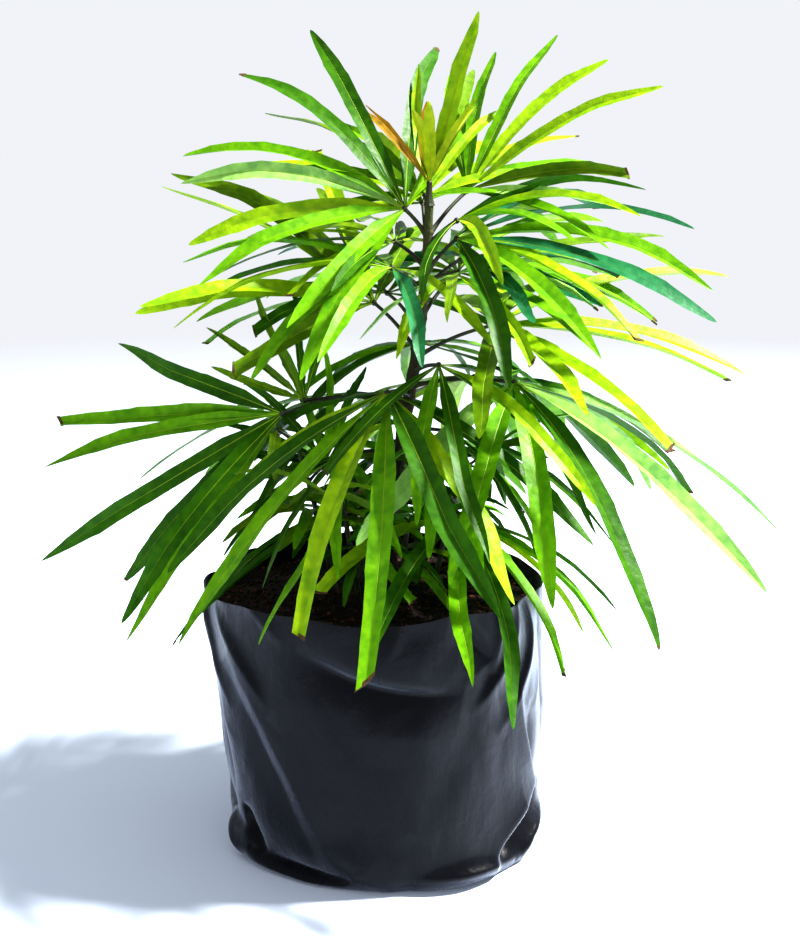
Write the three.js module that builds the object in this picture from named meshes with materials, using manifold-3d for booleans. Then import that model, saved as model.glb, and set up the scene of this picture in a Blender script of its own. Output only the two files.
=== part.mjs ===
// A false aralia in a soft black grow bag: one slender leader with long-stalked fans of
// narrow leaflets, small shoots round its foot, and young upright leaves at its tip.
// Millimetres, +Z up. The origin is the centre of the bag's flat underside, -Y is the front.
// Azimuths are in degrees from +X towards +Y, and rises are in degrees above the horizontal.
import * as THREE from "three";
import Module from "manifold-3d";

const wasm = await Module();
wasm.setup();

// Grow bag
const BAG_HEIGHT = 153;
const BAG_BASE_RADIUS = 90;
const BAG_RIM_RADIUS = 93;
const BAG_BELLY = 3;
const BAG_LEAN = -7;
const FILM = 1.2;
const BAG_COLUMNS = 40;
const BAG_ROWS = [0, 0.035, 0.1, 0.28, 0.5, 0.66, 0.76, 0.86, 0.92, 1];
const BASE_ROUNDING = 5;
const BASE_ROUNDING_SHARE = 0.07;
const MOUTH_CORNERS = { depth: 5, azimuths: [0, 180], width: 11 };
const FOOT_LOBES = { depth: 6, azimuths: [212, 328], width: 14 };
const FRONT_DENT = { depth: 5, azimuth: 268, width: 26, level: 0.74, reach: 0.13 };
const FILM_WAVES = { depth: 1.1, count: 5, climb: 4 };
const RIM_WAVES = [{ height: 2.5, count: 2, start: -60 }, { height: 1.8, count: 5, start: 0 }];

// Potting soil
const SOIL_LEVEL = 142;
const SOIL_CLEARANCE = 0.9;
const SOIL_TOP_ROW = 0.92;
const SOIL_RINGS = [0.74, 0.46];

// Trunk
const TRUNK_HEIGHT = 224;
const TRUNK_TOP = SOIL_LEVEL + TRUNK_HEIGHT;
const TRUNK_FOOT_X = 1.5;
const TRUNK_LEAN = 23;
const TRUNK_SWAY = 2.4;
const TRUNK_BOW = 2;
const TRUNK_FOOT_RADIUS = 4.4;
const TRUNK_TOP_RADIUS = 2.2;
const TRUNK_SIDES = 6;
const LEAF_SCAR_PITCH = 16;
const LEAF_SCAR_SWELL = 0.12;
const ROOT_FLARE = 0.75;
const ROOT_FLARE_HEIGHT = 6;

// Leaf stalks and leaflets
const GAP = 0.35;
const STALK_RADIUS = 1.2;
const STALK_SIDES = 5;
const STALK_ARCH = 0.05;
const STALK_TAPER = 0.2;
const STALK_RINGS = [0, 0.33, 0.67, 1];
const HUB_RADIUS = 2.6;
const LEAFLET_SLENDERNESS = 14.5;
const LEAFLET_THICKNESS = 0.0115;
const LEAFLET_FOLD = 0.09;
const LEAFLET_STEPS = 50;
const LEAFLET_STATIONS = [0, 10, 24, 39, 50];
const SMALL_STATIONS = [0, 18, 50];
const ROOT_START = 0.4;
const CUT_STATION = 44;
const CUT_SHARE = 0.1;
const ATTEMPTS = 14;
const CLEARANCE = 0.4;
const GOLDEN_ANGLE = 137.5;
const DROOP_POWER = 1.2;
const ROOT_SHARE = 0.14;
const FULL_WIDTH_FROM = 0.24;
const TAPER_LENGTH = 0.26;
const SIDE_LEAFLET_SHARE = 0.62;
const SIDE_LEAFLET_FALL = 0.55;

// How leaflets vary: degrees from end to end for bearings and twist, and shares of the
// fan's own length and droop. The bearings vary more from try to try.
const SCATTER = { turn: 14, cup: 18, length: [0.88, 1.08], droop: [0.75, 1.25], twist: 90 };
const SCATTER_GROWTH = 0.15;
const SEEDS = { leaflet: 20, fan: 1000, shootFan: 200, shoots: 100000, tip: 200000 };

// Each fan: height above the soil, azimuth, rise and length of its stalk, then how far the
// fan turns from the stalk, its pitch and roll, the cup of its leaflets (positive is a
// vase, negative an umbrella), their spread, count, length and droop.
const FAN_FIELDS = ["name", "at", "azimuth", "rise", "stalk", "turn", "pitch", "roll", "cup",
  "spread", "count", "length", "droop"];
const FAN_ROWS = [
  ["upper_right", 205, 40, 40, 38, -30, 33, 40, 5, 130, 8, 112, 0.35],
  ["right_high", 185, -15, 48, 26, 10, 14, 15, 0, 170, 9, 156, 0.75],
  ["right_inner", 180, -50, 15, 25, 0, 5, 10, 0, 190, 8, 100, 0.6],
  ["right_mid", 138, 5, 22, 48, 0, 8, 12, 0, 200, 9, 160, 0.45],
  ["right_low", 122, -20, 5, 60, 0, -5, 12, -15, 220, 10, 176, 0.8],
  ["front_low", 116, -108, 12, 40, -12, -10, 0, -22, 200, 9, 180, 0.75],
  ["front_right", 130, -60, 15, 28, 0, -10, 0, -20, 190, 8, 122, 0.75],
  ["upper_left", 205, 185, 50, 20, -15, 34, -44, 0, 190, 11, 140, 0.5],
  ["left_high", 175, -155, 35, 24, 0, 10, -10, 0, 190, 9, 124, 0.8],
  ["left_back", 142, 140, 38, 40, 20, 35, -20, 5, 140, 9, 148, 0.4],
  ["left_low", 118, 176, -10, 74, 14, -34, -62, -6, 116, 9, 150, 0.28],
  ["foot_left", 56, -150, -10, 32, 25, -8, 0, -18, 220, 9, 116, 0.8],
  ["foot_right", 56, -28, -10, 42, -58, 0, 0, -16, 210, 10, 142, 1],
  ["back_upper", 195, 95, 50, 36, 0, 38, 0, 5, 190, 8, 130, 0.5],
  ["back_right", 160, 62, 25, 52, 0, 14, 0, 0, 200, 8, 145, 0.6],
  ["back_left", 152, 112, 20, 52, 0, 10, 0, 0, 200, 8, 145, 0.65],
  ["low_back_right", 118, 50, 2, 60, 0, -5, 0, -12, 210, 8, 160, 0.75],
  ["low_back_left", 108, 125, 2, 60, 0, -5, 0, -12, 210, 8, 160, 0.75],
  ["foot_back", 64, 95, -5, 42, 0, -5, 0, -12, 220, 8, 125, 0.95],
];

// Each shoot from the soil: azimuth and distance from the trunk's foot, height, lean
// outwards, and the length of its leaflets.
const SHOOT_FIELDS = ["name", "azimuth", "distance", "height", "lean", "length"];
const SHOOT_ROWS = [
  ["shoot_front_left", -126, 26, 62, 16, 62],
  ["shoot_left", 175, 30, 88, 22, 66],
  ["shoot_front", -70, 22, 50, 10, 58],
  ["shoot_right", 10, 26, 72, 18, 62],
  ["shoot_back_right", 60, 28, 58, 16, 60],
  ["shoot_back_left", 120, 30, 70, 18, 62],
];
const SHOOT_RADIUS = 1.7;
const SHOOT_LEVELS = [0.5, 0.74, 1];
const SHOOT_STALK = 14;
const SHOOT_STALK_RADIUS = 0.8;
const SHOOT_HUB_RADIUS = 1.6;
const SHOOT_LEAFLET_WIDTH = 7;
const SHOOT_TAPER = 0.3;
const SHOOT_STALK_RISE = 35;
const SHOOT_PITCH = 12;
const SHOOT_PITCH_STEP = 14;
const SHOOT_FAN = { turn: 0, roll: 0, cup: 4, spread: 210, count: 5, droop: 0.7 };

// Young leaves at the growing tip, the first of them the tallest.
const TIP_LEAVES = 9;
const TIP_STEM = 10;
const TIP_STEM_RADIUS = 1.6;
const TIP_TALLEST = 92;
const TIP_LONGEST = 74;
const TIP_SHORTEST = 40;
const TIP_TALLEST_RISE = 76;
const TIP_LEAF_WIDTH = 6.4;
const TIP_TALLEST_WIDTH = 8.8;
const TIP_RISE = { lowest: 38, highest: 72, scatter: 10 };
const TIP_SCATTER = { azimuth: 16, length: [0.9, 1.1], twist: 60 };
const TIP_DROOP = 0.25;
const TIP_TALLEST_DROOP = -0.05;

const COLOURS = {
  film: 0x15161b,
  soil: 0x2c1c14,
  bark: 0x2a201a,
  leaf: 0x5aa51f,
  young: 0xa9a437,
};

const UP = new THREE.Vector3(0, 0, 1);

function radians(degrees) {
  return THREE.MathUtils.degToRad(degrees);
}

function vector(azimuth, rise) {
  const across = Math.cos(radians(rise));
  return new THREE.Vector3(
    Math.cos(radians(azimuth)) * across,
    Math.sin(radians(azimuth)) * across,
    Math.sin(radians(rise)),
  );
}

/** A repeatable source of numbers from 0 to 1 (mulberry32). */
function randomFrom(seed) {
  let state = seed >>> 0;
  return () => {
    state = (state + 0x6d2b79f5) >>> 0;
    let mixed = Math.imul(state ^ (state >>> 15), state | 1);
    mixed ^= mixed + Math.imul(mixed ^ (mixed >>> 7), mixed | 61);
    return ((mixed ^ (mixed >>> 14)) >>> 0) / 4294967296;
  };
}

/** A rounded bump, 1 at the middle and gone by about twice its half width. */
function bump(offset, halfWidth) {
  return Math.exp(-((offset / halfWidth) ** 2));
}

/** The difference between two bearings, from -180 to 180 degrees. */
function bearing(from, to) {
  return ((((from - to) % 360) + 540) % 360) - 180;
}

/** A closed solid from points and triangles. */
function solid(points, triangles) {
  const vertProperties = new Float32Array(points.flatMap((p) => [p.x, p.y, p.z]));
  const triVerts = new Uint32Array(triangles.flat());
  return new wasm.Manifold(new wasm.Mesh({ numProp: 3, vertProperties, triVerts }));
}

/**
 * Joins rings of equal size, each counterclockwise round the way ahead, and closes both ends.
 * A blade's quads are split in mirrored pairs, so that its two faces never meet as it twists.
 */
function loft(rings, point = null, isBlade = false) {
  const sides = rings[0].length;
  const points = rings.flat();
  const triangles = [];
  for (let ring = 0; ring < rings.length - 1; ring += 1) {
    for (let side = 0; side < sides; side += 1) {
      const a = ring * sides + side;
      const b = ring * sides + ((side + 1) % sides);
      const [aNext, bNext] = [a + sides, b + sides];
      if (isBlade && side % 2 === 1) {
        triangles.push([a, b, aNext], [b, bNext, aNext]);
      } else {
        triangles.push([a, b, bNext], [a, bNext, aNext]);
      }
    }
  }
  for (let side = 1; side < sides - 1; side += 1) {
    triangles.push([0, side + 1, side]);
  }
  const last = (rings.length - 1) * sides;
  if (point) {
    points.push(point);
    for (let side = 0; side < sides; side += 1) {
      triangles.push([last + side, last + ((side + 1) % sides), points.length - 1]);
    }
  } else {
    for (let side = 1; side < sides - 1; side += 1) {
      triangles.push([last, last + side, last + side + 1]);
    }
  }
  return solid(points, triangles);
}

/** A ring of points round a centre, square to the way ahead. */
function ringRound(centre, ahead, radius, sides) {
  const reference = Math.abs(ahead.z) > 0.9 ? new THREE.Vector3(1, 0, 0) : UP;
  const across = new THREE.Vector3().crossVectors(reference, ahead).normalize();
  const above = new THREE.Vector3().crossVectors(ahead, across);
  return Array.from({ length: sides }, (_, side) => {
    const turn = (2 * Math.PI * side) / sides;
    return centre
      .clone()
      .addScaledVector(across, radius * Math.cos(turn))
      .addScaledVector(above, radius * Math.sin(turn));
  });
}

// --- Grow bag and soil ---------------------------------------------------------------

/** How far a set of equal bumps stands out at an azimuth. */
function bumpsRound(azimuth, { depth, azimuths, width }) {
  return azimuths.reduce((sum, middle) => sum + depth * bump(bearing(azimuth, middle), width), 0);
}

/** The bag's radius: a slight belly, creased mouth corners, lobes at its foot, a front dent. */
function bagRadius(azimuth, k) {
  const plain = THREE.MathUtils.lerp(BAG_BASE_RADIUS, BAG_RIM_RADIUS, k)
    + BAG_BELLY * Math.sin(Math.PI * k);
  const corners = bumpsRound(azimuth, MOUTH_CORNERS) * k ** 3;
  const lobes = bumpsRound(azimuth, FOOT_LOBES) * (1 - k) ** 5;
  const { depth, width, level, reach } = FRONT_DENT;
  const dent = depth * bump(bearing(azimuth, FRONT_DENT.azimuth), width) * bump(k - level, reach);
  const swing = Math.sin(radians(FILM_WAVES.count * azimuth) + FILM_WAVES.climb * k);
  const waves = FILM_WAVES.depth * swing * Math.sin(Math.PI * k);
  const rounding = BASE_ROUNDING * Math.max(0, 1 - k / BASE_ROUNDING_SHARE) ** 2;
  return plain + corners + lobes - dent + waves - rounding;
}

/** The height of the bag's wavy rim. */
function rimHeight(azimuth) {
  return RIM_WAVES.reduce(
    (sum, wave) => sum + wave.height * Math.sin(radians(wave.count * azimuth + wave.start)),
    BAG_HEIGHT,
  );
}

function bagRing(k, inset, height = null) {
  return Array.from({ length: BAG_COLUMNS }, (_, column) => {
    const azimuth = (360 * column) / BAG_COLUMNS;
    const radius = bagRadius(azimuth, k) - inset;
    return new THREE.Vector3(
      BAG_LEAN * k + radius * Math.cos(radians(azimuth)),
      radius * Math.sin(radians(azimuth)),
      height ?? k * rimHeight(azimuth),
    );
  });
}

/** A thin open shell: up the outside, over the rim and down the inside to the floor. */
function growBag() {
  const outside = BAG_ROWS.map((k) => bagRing(k, 0));
  const inside = BAG_ROWS.slice(1).reverse().map((k) => bagRing(k, FILM));
  return loft([...outside, ...inside, bagRing(0, FILM, FILM)]);
}

/** The fill, just clear of the film, with a level patch round the trunk's foot. */
function pottingSoil() {
  const inset = FILM + SOIL_CLEARANCE;
  const rows = BAG_ROWS.filter((k) => k > 0 && k <= SOIL_TOP_ROW);
  const edge = bagRing(SOIL_TOP_ROW, inset);
  const top = SOIL_RINGS.map((share, index) => edge.map((p) => {
    const height = index === 0 ? (p.z + SOIL_LEVEL) / 2 : SOIL_LEVEL;
    return new THREE.Vector3(p.x * share, p.y * share, height);
  }));
  return loft([bagRing(0, inset, FILM + GAP), ...rows.map((k) => bagRing(k, inset)), ...top]);
}

// --- Trunk and stalks ----------------------------------------------------------------

function trunkCentre(height) {
  const k = (height - SOIL_LEVEL) / TRUNK_HEIGHT;
  return new THREE.Vector3(
    TRUNK_FOOT_X + TRUNK_LEAN * k - TRUNK_SWAY * Math.sin(2 * Math.PI * k),
    TRUNK_BOW * Math.sin(Math.PI * k),
    height,
  );
}

/** The tapering radius, a little swollen at each leaf scar and flared at the roots. */
function trunkRadius(height) {
  const above = height - SOIL_LEVEL;
  const scar = 0.5 + 0.5 * Math.cos((2 * Math.PI * above) / LEAF_SCAR_PITCH);
  const flare = ROOT_FLARE * Math.exp(-above / ROOT_FLARE_HEIGHT);
  const taper = THREE.MathUtils.lerp(TRUNK_FOOT_RADIUS, TRUNK_TOP_RADIUS, above / TRUNK_HEIGHT);
  return taper * (1 + LEAF_SCAR_SWELL * scar + flare);
}

function trunkSolid(growth = 0) {
  const foot = SOIL_LEVEL + GAP;
  const steps = Math.round((2 * (TRUNK_TOP - foot)) / LEAF_SCAR_PITCH);
  const even = Array.from({ length: steps + 1 }, (_, step) => {
    return THREE.MathUtils.lerp(foot, TRUNK_TOP, step / steps);
  });
  const heights = [foot, foot + ROOT_FLARE_HEIGHT / 2, ...even.slice(1)];
  return loft(heights.map((height) => {
    return ringRound(trunkCentre(height), UP, trunkRadius(height) + growth, TRUNK_SIDES);
  }));
}

/** A thin stalk that arches a little, from its foot to the hub of its leaflets. */
function stalkSolid(foot, hub, radius, rings = STALK_RINGS) {
  const along = hub.clone().sub(foot);
  const ahead = along.clone().normalize();
  return loft(rings.map((k) => {
    const centre = foot.clone().addScaledVector(along, k);
    centre.z += STALK_ARCH * along.length() * Math.sin(Math.PI * k);
    return ringRound(centre, ahead, radius * (1 - STALK_TAPER * k), STALK_SIDES);
  }));
}

/** The knob at the end of a stalk, which holds the roots of the leaflets. */
function hubSolid(hub, radius) {
  const shape = new THREE.IcosahedronGeometry(radius);
  const at = shape.getAttribute("position");
  const points = [];
  const triangles = [];
  for (let index = 0; index < at.count; index += 1) {
    const point = new THREE.Vector3().fromBufferAttribute(at, index).add(hub);
    const known = points.findIndex((p) => p.distanceTo(point) < radius * 0.01);
    triangles.push(known < 0 ? points.push(point) - 1 : known);
  }
  return solid(points, triangles);
}

// --- Leaflets ------------------------------------------------------------------------

/** The share of the full width at k along a leaflet: a narrow root, a long strap, and a
 * tapered tip unless it is cut off. */
function widthShare(k, isCut) {
  const widening = ROOT_SHARE + (1 - ROOT_SHARE) * (k / FULL_WIDTH_FROM) ** 1.3;
  const taper = isCut ? 1 : ((1 - k) / TAPER_LENGTH) ** 0.7;
  return Math.min(1, widening, taper);
}

/** Points along a leaflet that sets out one way and droops more and more towards its tip. */
function leafletPath(root, heading, length, droop) {
  const points = [root.clone()];
  const tangents = [heading.clone()];
  for (let step = 0; step < LEAFLET_STEPS; step += 1) {
    const k = (step + 0.5) / LEAFLET_STEPS;
    const tangent = heading.clone().addScaledVector(UP, -droop * k ** DROOP_POWER).normalize();
    points.push(points[step].clone().addScaledVector(tangent, length / LEAFLET_STEPS));
    tangents.push(tangent);
  }
  return { points, tangents };
}

/** A leaflet's closed solid, folded along its midrib, with growth added on every side. */
function leafletSolid(leaf, growth = 0) {
  const { points, tangents } = leafletPath(leaf.root, leaf.heading, leaf.length, leaf.droop);
  const stations = leaf.cut
    ? [...leaf.stations.filter((step) => step < CUT_STATION), CUT_STATION]
    : leaf.stations.slice(0, -1);
  const rings = stations.map((step) => {
    const k = step / LEAFLET_STEPS;
    const ahead = tangents[step];
    const across = new THREE.Vector3().crossVectors(leaf.normal, ahead).normalize();
    across.applyAxisAngle(ahead, radians(leaf.twist * k));
    const above = new THREE.Vector3().crossVectors(ahead, across);
    const half = (leaf.width * widthShare(k, leaf.cut)) / 2;
    const thick = (LEAFLET_THICKNESS * leaf.length) / 2 + growth;
    const edge = (side) => points[step].clone()
      .addScaledVector(across, side * (half + growth))
      .addScaledVector(above, LEAFLET_FOLD * half);
    const face = (side) => points[step].clone().addScaledVector(above, side * thick);
    return [edge(1), face(1), edge(-1), face(-1)];
  });
  return loft(rings, leaf.cut ? null : points[LEAFLET_STEPS], true);
}

/** One try at a leaflet of a fan: bearings, length, droop and twist vary from try to try. */
function fanLeaflet(fan, index, attempt) {
  const random = randomFrom(fan.seed + SEEDS.leaflet * index + attempt);
  const scatter = 1 + SCATTER_GROWTH * attempt;
  const middle = vector(fan.azimuth + fan.turn, fan.pitch);
  const side = new THREE.Vector3().crossVectors(UP, middle).normalize();
  const normal = new THREE.Vector3().crossVectors(middle, side);
  side.applyAxisAngle(middle, radians(fan.roll));
  normal.applyAxisAngle(middle, radians(fan.roll));
  const even = (index - (fan.count - 1) / 2) * (fan.spread / (fan.count - 1));
  const turn = even + (random() - 0.5) * SCATTER.turn * scatter;
  const cup = fan.cup + (random() - 0.5) * SCATTER.cup * scatter;
  const middleShare = Math.cos(radians(SIDE_LEAFLET_FALL * turn)) ** 2;
  const share = THREE.MathUtils.lerp(SIDE_LEAFLET_SHARE, 1, middleShare);
  const length = fan.length * share * THREE.MathUtils.lerp(...SCATTER.length, random());
  const droop = fan.droop * THREE.MathUtils.lerp(...SCATTER.droop, random());
  const twist = (random() - 0.5) * SCATTER.twist;
  const cut = random() < CUT_SHARE;
  const heading = middle.clone().multiplyScalar(Math.cos(radians(turn)))
    .addScaledVector(side, Math.sin(radians(turn)))
    .multiplyScalar(Math.cos(radians(cup)))
    .addScaledVector(normal, Math.sin(radians(cup)));
  const root = fan.hub.clone().addScaledVector(heading, ROOT_START * fan.hubRadius);
  const { width, stations } = fan;
  return { root, heading, normal, length, droop, twist, cut, width, stations };
}

// --- Placing, clear of everything placed before -----------------------------------------

const placed = [];

function place(node, piece) {
  placed.push({ node, piece, box: piece.boundingBox() });
}

function boxesMeet(a, b) {
  return [0, 1, 2].every((axis) => a.min[axis] < b.max[axis] && b.min[axis] < a.max[axis]);
}

function isClear(node, piece) {
  const box = piece.boundingBox();
  return placed.every((other) => {
    if (other.node === node || !boxesMeet(box, other.box)) {
      return true;
    }
    const shared = piece.intersect(other.piece);
    const clear = shared.isEmpty();
    shared.delete();
    return clear;
  });
}

/** Adds leaflets to a node, each by its first clear try, and leaves out one with none. */
function growLeaflets(node, count, makeLeaflet) {
  const grown = [];
  for (let index = 0; index < count; index += 1) {
    for (let attempt = 0; attempt < ATTEMPTS; attempt += 1) {
      const leaf = makeLeaflet(index, attempt);
      if (isClear(node, leafletSolid(leaf, CLEARANCE))) {
        const piece = leafletSolid(leaf);
        place(node, piece);
        grown.push(piece);
        break;
      }
    }
  }
  return grown;
}

function fromRow(fields, row) {
  return Object.fromEntries(fields.map((field, index) => [field, row[index]]));
}

/** A fan, with its stalk measured from the middle of the trunk. */
function fanFrom(row, index) {
  const fan = fromRow(FAN_FIELDS, row);
  fan.foot = trunkCentre(SOIL_LEVEL + fan.at);
  fan.hub = fan.foot.clone().addScaledVector(vector(fan.azimuth, fan.rise), fan.stalk);
  fan.hubRadius = HUB_RADIUS;
  fan.width = fan.length / LEAFLET_SLENDERNESS;
  fan.stations = LEAFLET_STATIONS;
  fan.seed = SEEDS.fan * (index + 1);
  return fan;
}

/** A shoot's stem, with three small fans up it. */
function shootFrom(row, index) {
  const shoot = fromRow(SHOOT_FIELDS, row);
  const away = vector(shoot.azimuth, 0);
  const trunkFoot = new THREE.Vector3(TRUNK_FOOT_X, 0, SOIL_LEVEL + GAP);
  shoot.foot = trunkFoot.addScaledVector(away, shoot.distance);
  shoot.top = shoot.foot.clone().addScaledVector(away, shoot.lean);
  shoot.top.z = SOIL_LEVEL + shoot.height;
  shoot.fans = SHOOT_LEVELS.map((level, fanIndex) => {
    const azimuth = shoot.azimuth + GOLDEN_ANGLE * (fanIndex - SHOOT_LEVELS.length + 1);
    const start = shoot.foot.clone().lerp(shoot.top, level);
    return {
      ...SHOOT_FAN,
      azimuth,
      pitch: SHOOT_PITCH + SHOOT_PITCH_STEP * fanIndex,
      length: shoot.length,
      hubRadius: SHOOT_HUB_RADIUS,
      width: SHOOT_LEAFLET_WIDTH,
      stations: SMALL_STATIONS,
      start,
      hub: start.clone().addScaledVector(vector(azimuth, SHOOT_STALK_RISE), SHOOT_STALK),
      seed: SEEDS.shoots + SEEDS.fan * index + SEEDS.shootFan * fanIndex,
    };
  });
  return shoot;
}

function shootStems(shoot) {
  const stem = loft([0, 0.5, 1].map((k) => {
    const centre = shoot.foot.clone().lerp(shoot.top, k);
    return ringRound(centre, UP, SHOOT_RADIUS * (1 - SHOOT_TAPER * k), STALK_SIDES);
  }));
  const stalks = shoot.fans.map((fan) => stalkSolid(fan.start, fan.hub, SHOOT_STALK_RADIUS, [0, 1]));
  const hubs = shoot.fans.map((fan) => hubSolid(fan.hub, SHOOT_HUB_RADIUS));
  return [stem, ...stalks, ...hubs];
}

/** One try at a young leaf of the growing tip, on a spiral that steepens as it goes up. */
function tipLeaflet(hub, index, attempt) {
  const random = randomFrom(SEEDS.tip + SEEDS.leaflet * index + attempt);
  const k = index / (TIP_LEAVES - 1);
  const first = index === 0;
  const azimuth = GOLDEN_ANGLE * index + (random() - 0.5) * TIP_SCATTER.azimuth * (1 + attempt);
  const steepening = THREE.MathUtils.lerp(TIP_RISE.lowest, TIP_RISE.highest, k);
  const rise = first ? TIP_TALLEST_RISE : steepening + (random() - 0.5) * TIP_RISE.scatter;
  const shortening = THREE.MathUtils.lerp(TIP_LONGEST, TIP_SHORTEST, k);
  const length = shortening * THREE.MathUtils.lerp(...TIP_SCATTER.length, random());
  const twist = (random() - 0.5) * TIP_SCATTER.twist;
  const heading = vector(azimuth, rise);
  return {
    root: hub.clone().addScaledVector(heading, ROOT_START * HUB_RADIUS),
    heading,
    normal: first ? vector(azimuth - 90, 0) : vector(azimuth + 180, 90 - rise),
    stations: LEAFLET_STATIONS,
    length: first ? TIP_TALLEST : length,
    droop: first ? TIP_TALLEST_DROOP : TIP_DROOP,
    twist,
    cut: false,
    width: first ? TIP_TALLEST_WIDTH : TIP_LEAF_WIDTH,
  };
}

// --- The plant in its bag ---------------------------------------------------------------

const fans = FAN_ROWS.map(fanFrom);
const shoots = SHOOT_ROWS.map(shootFrom);
const tipHub = trunkCentre(TRUNK_TOP).add(new THREE.Vector3(0, 0, TIP_STEM));
const tipFoot = trunkCentre(TRUNK_TOP).add(new THREE.Vector3(0, 0, GAP));

const barkWithGap = trunkSolid(GAP);

const nodes = new Map();

function startNode(name, colour, roughness, pieces) {
  nodes.set(name, { colour, roughness, pieces });
  pieces.forEach((piece) => place(name, piece));
}

startNode("grow_bag", COLOURS.film, 0.3, [growBag()]);
startNode("potting_soil", COLOURS.soil, 0.95, [pottingSoil()]);
startNode("trunk", COLOURS.bark, 0.8, [trunkSolid()]);
startNode("growing_tip", COLOURS.young, 0.5, [
  stalkSolid(tipFoot, tipHub, TIP_STEM_RADIUS),
  hubSolid(tipHub, HUB_RADIUS),
]);
fans.forEach((fan) => startNode(`fan_${fan.name}`, COLOURS.leaf, 0.45, [
  stalkSolid(fan.foot, fan.hub, STALK_RADIUS).subtract(barkWithGap),
  hubSolid(fan.hub, HUB_RADIUS),
]));
shoots.forEach((shoot) => startNode(shoot.name, COLOURS.leaf, 0.45, shootStems(shoot)));

function addLeaflets(name, count, makeLeaflet) {
  nodes.get(name).pieces.push(...growLeaflets(name, count, makeLeaflet));
}

addLeaflets("growing_tip", TIP_LEAVES, (index, attempt) => tipLeaflet(tipHub, index, attempt));
fans.forEach((fan) => addLeaflets(
  `fan_${fan.name}`,
  fan.count,
  (index, attempt) => fanLeaflet(fan, index, attempt),
));
shoots.forEach((shoot) => shoot.fans.forEach((fan) => addLeaflets(
  shoot.name,
  fan.count,
  (index, attempt) => fanLeaflet(fan, index, attempt),
)));

/** A named mesh with flat faces from the union of a node's pieces. */
function meshFrom(name, { colour, roughness, pieces }) {
  const body = pieces.reduce((whole, piece) => whole.add(piece));
  const { vertProperties, triVerts, numProp } = body.getMesh();
  const geometry = new THREE.BufferGeometry();
  const positions = new Float32Array((vertProperties.length / numProp) * 3);
  for (let vertex = 0; vertex < positions.length / 3; vertex += 1) {
    positions.set(vertProperties.subarray(vertex * numProp, vertex * numProp + 3), vertex * 3);
  }
  geometry.setAttribute("position", new THREE.BufferAttribute(positions, 3));
  geometry.setIndex(new THREE.BufferAttribute(new Uint32Array(triVerts), 1));
  geometry.computeVertexNormals();
  const material = new THREE.MeshStandardMaterial({ color: colour, roughness, metalness: 0 });
  const mesh = new THREE.Mesh(geometry, material);
  mesh.name = name;
  return mesh;
}

const plant = new THREE.Group();
nodes.forEach((node, name) => plant.add(meshFrom(name, node)));

export default plant;
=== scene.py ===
"""A false aralia in a soft black grow bag, dressed in full detail.

Shapes are worked out in millimetres, +Z up, in the frame of the solids, and become metres
as they are put into a mesh. Azimuths are in degrees from +X towards +Y, and rises are in
degrees above the horizontal.
"""
import itertools
import math
from functools import partial

import bpy
import numpy as np
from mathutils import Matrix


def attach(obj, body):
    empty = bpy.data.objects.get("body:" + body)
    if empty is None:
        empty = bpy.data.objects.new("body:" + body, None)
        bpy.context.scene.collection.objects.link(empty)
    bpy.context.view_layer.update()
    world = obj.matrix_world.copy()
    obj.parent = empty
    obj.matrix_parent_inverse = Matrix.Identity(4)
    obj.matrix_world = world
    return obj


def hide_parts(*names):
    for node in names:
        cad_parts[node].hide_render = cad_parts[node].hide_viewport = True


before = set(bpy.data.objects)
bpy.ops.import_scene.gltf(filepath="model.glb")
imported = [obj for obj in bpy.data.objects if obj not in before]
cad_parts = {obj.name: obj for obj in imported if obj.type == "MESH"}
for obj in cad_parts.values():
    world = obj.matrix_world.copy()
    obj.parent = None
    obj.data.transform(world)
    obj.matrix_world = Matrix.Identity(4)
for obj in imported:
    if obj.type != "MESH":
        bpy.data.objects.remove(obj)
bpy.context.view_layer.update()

bl_info = {
    "name": "Potted False Aralia",
    "version": (1, 0, 0),
    "blender": (4, 5, 0),
    "location": "View3D > Sidebar > Plant",
    "description": "Leaves, bark, soil and a crumpled film grow bag for a young false aralia",
    "category": "Add Mesh",
}

MM = 0.001
MASK = 0xFFFFFFFF
UP = np.array((0.0, 0.0, 1.0))

# --- Sizes that the solids share -------------------------------------------------------

BAG_HEIGHT = 153
BAG_BASE_RADIUS = 90
BAG_RIM_RADIUS = 93
BAG_BELLY = 3
BAG_LEAN = -7
BASE_ROUNDING = 5
BASE_ROUNDING_SHARE = 0.07
MOUTH_CORNERS = {"depth": 5, "azimuths": (0, 180), "width": 11}
FOOT_LOBES = {"depth": 6, "azimuths": (212, 328), "width": 14}
FILM_WAVES = {"depth": 1.1, "count": 5, "climb": 4}
RIM_WAVES = ((2.5, 2, -60), (1.8, 5, 0))

SOIL_LEVEL = 142
SOIL_TOP_ROW = 0.92
SOIL_FLAT_SHARE = 0.46

TRUNK_HEIGHT = 224
TRUNK_TOP = SOIL_LEVEL + TRUNK_HEIGHT
TRUNK_FOOT_X = 1.5
TRUNK_LEAN = 23
TRUNK_SWAY = 2.4
TRUNK_BOW = 2
TRUNK_FOOT_RADIUS = 4.4
TRUNK_TOP_RADIUS = 2.2
LEAF_SCAR_PITCH = 16
LEAF_SCAR_SWELL = 0.12
ROOT_FLARE = 0.75
ROOT_FLARE_HEIGHT = 6

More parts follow.
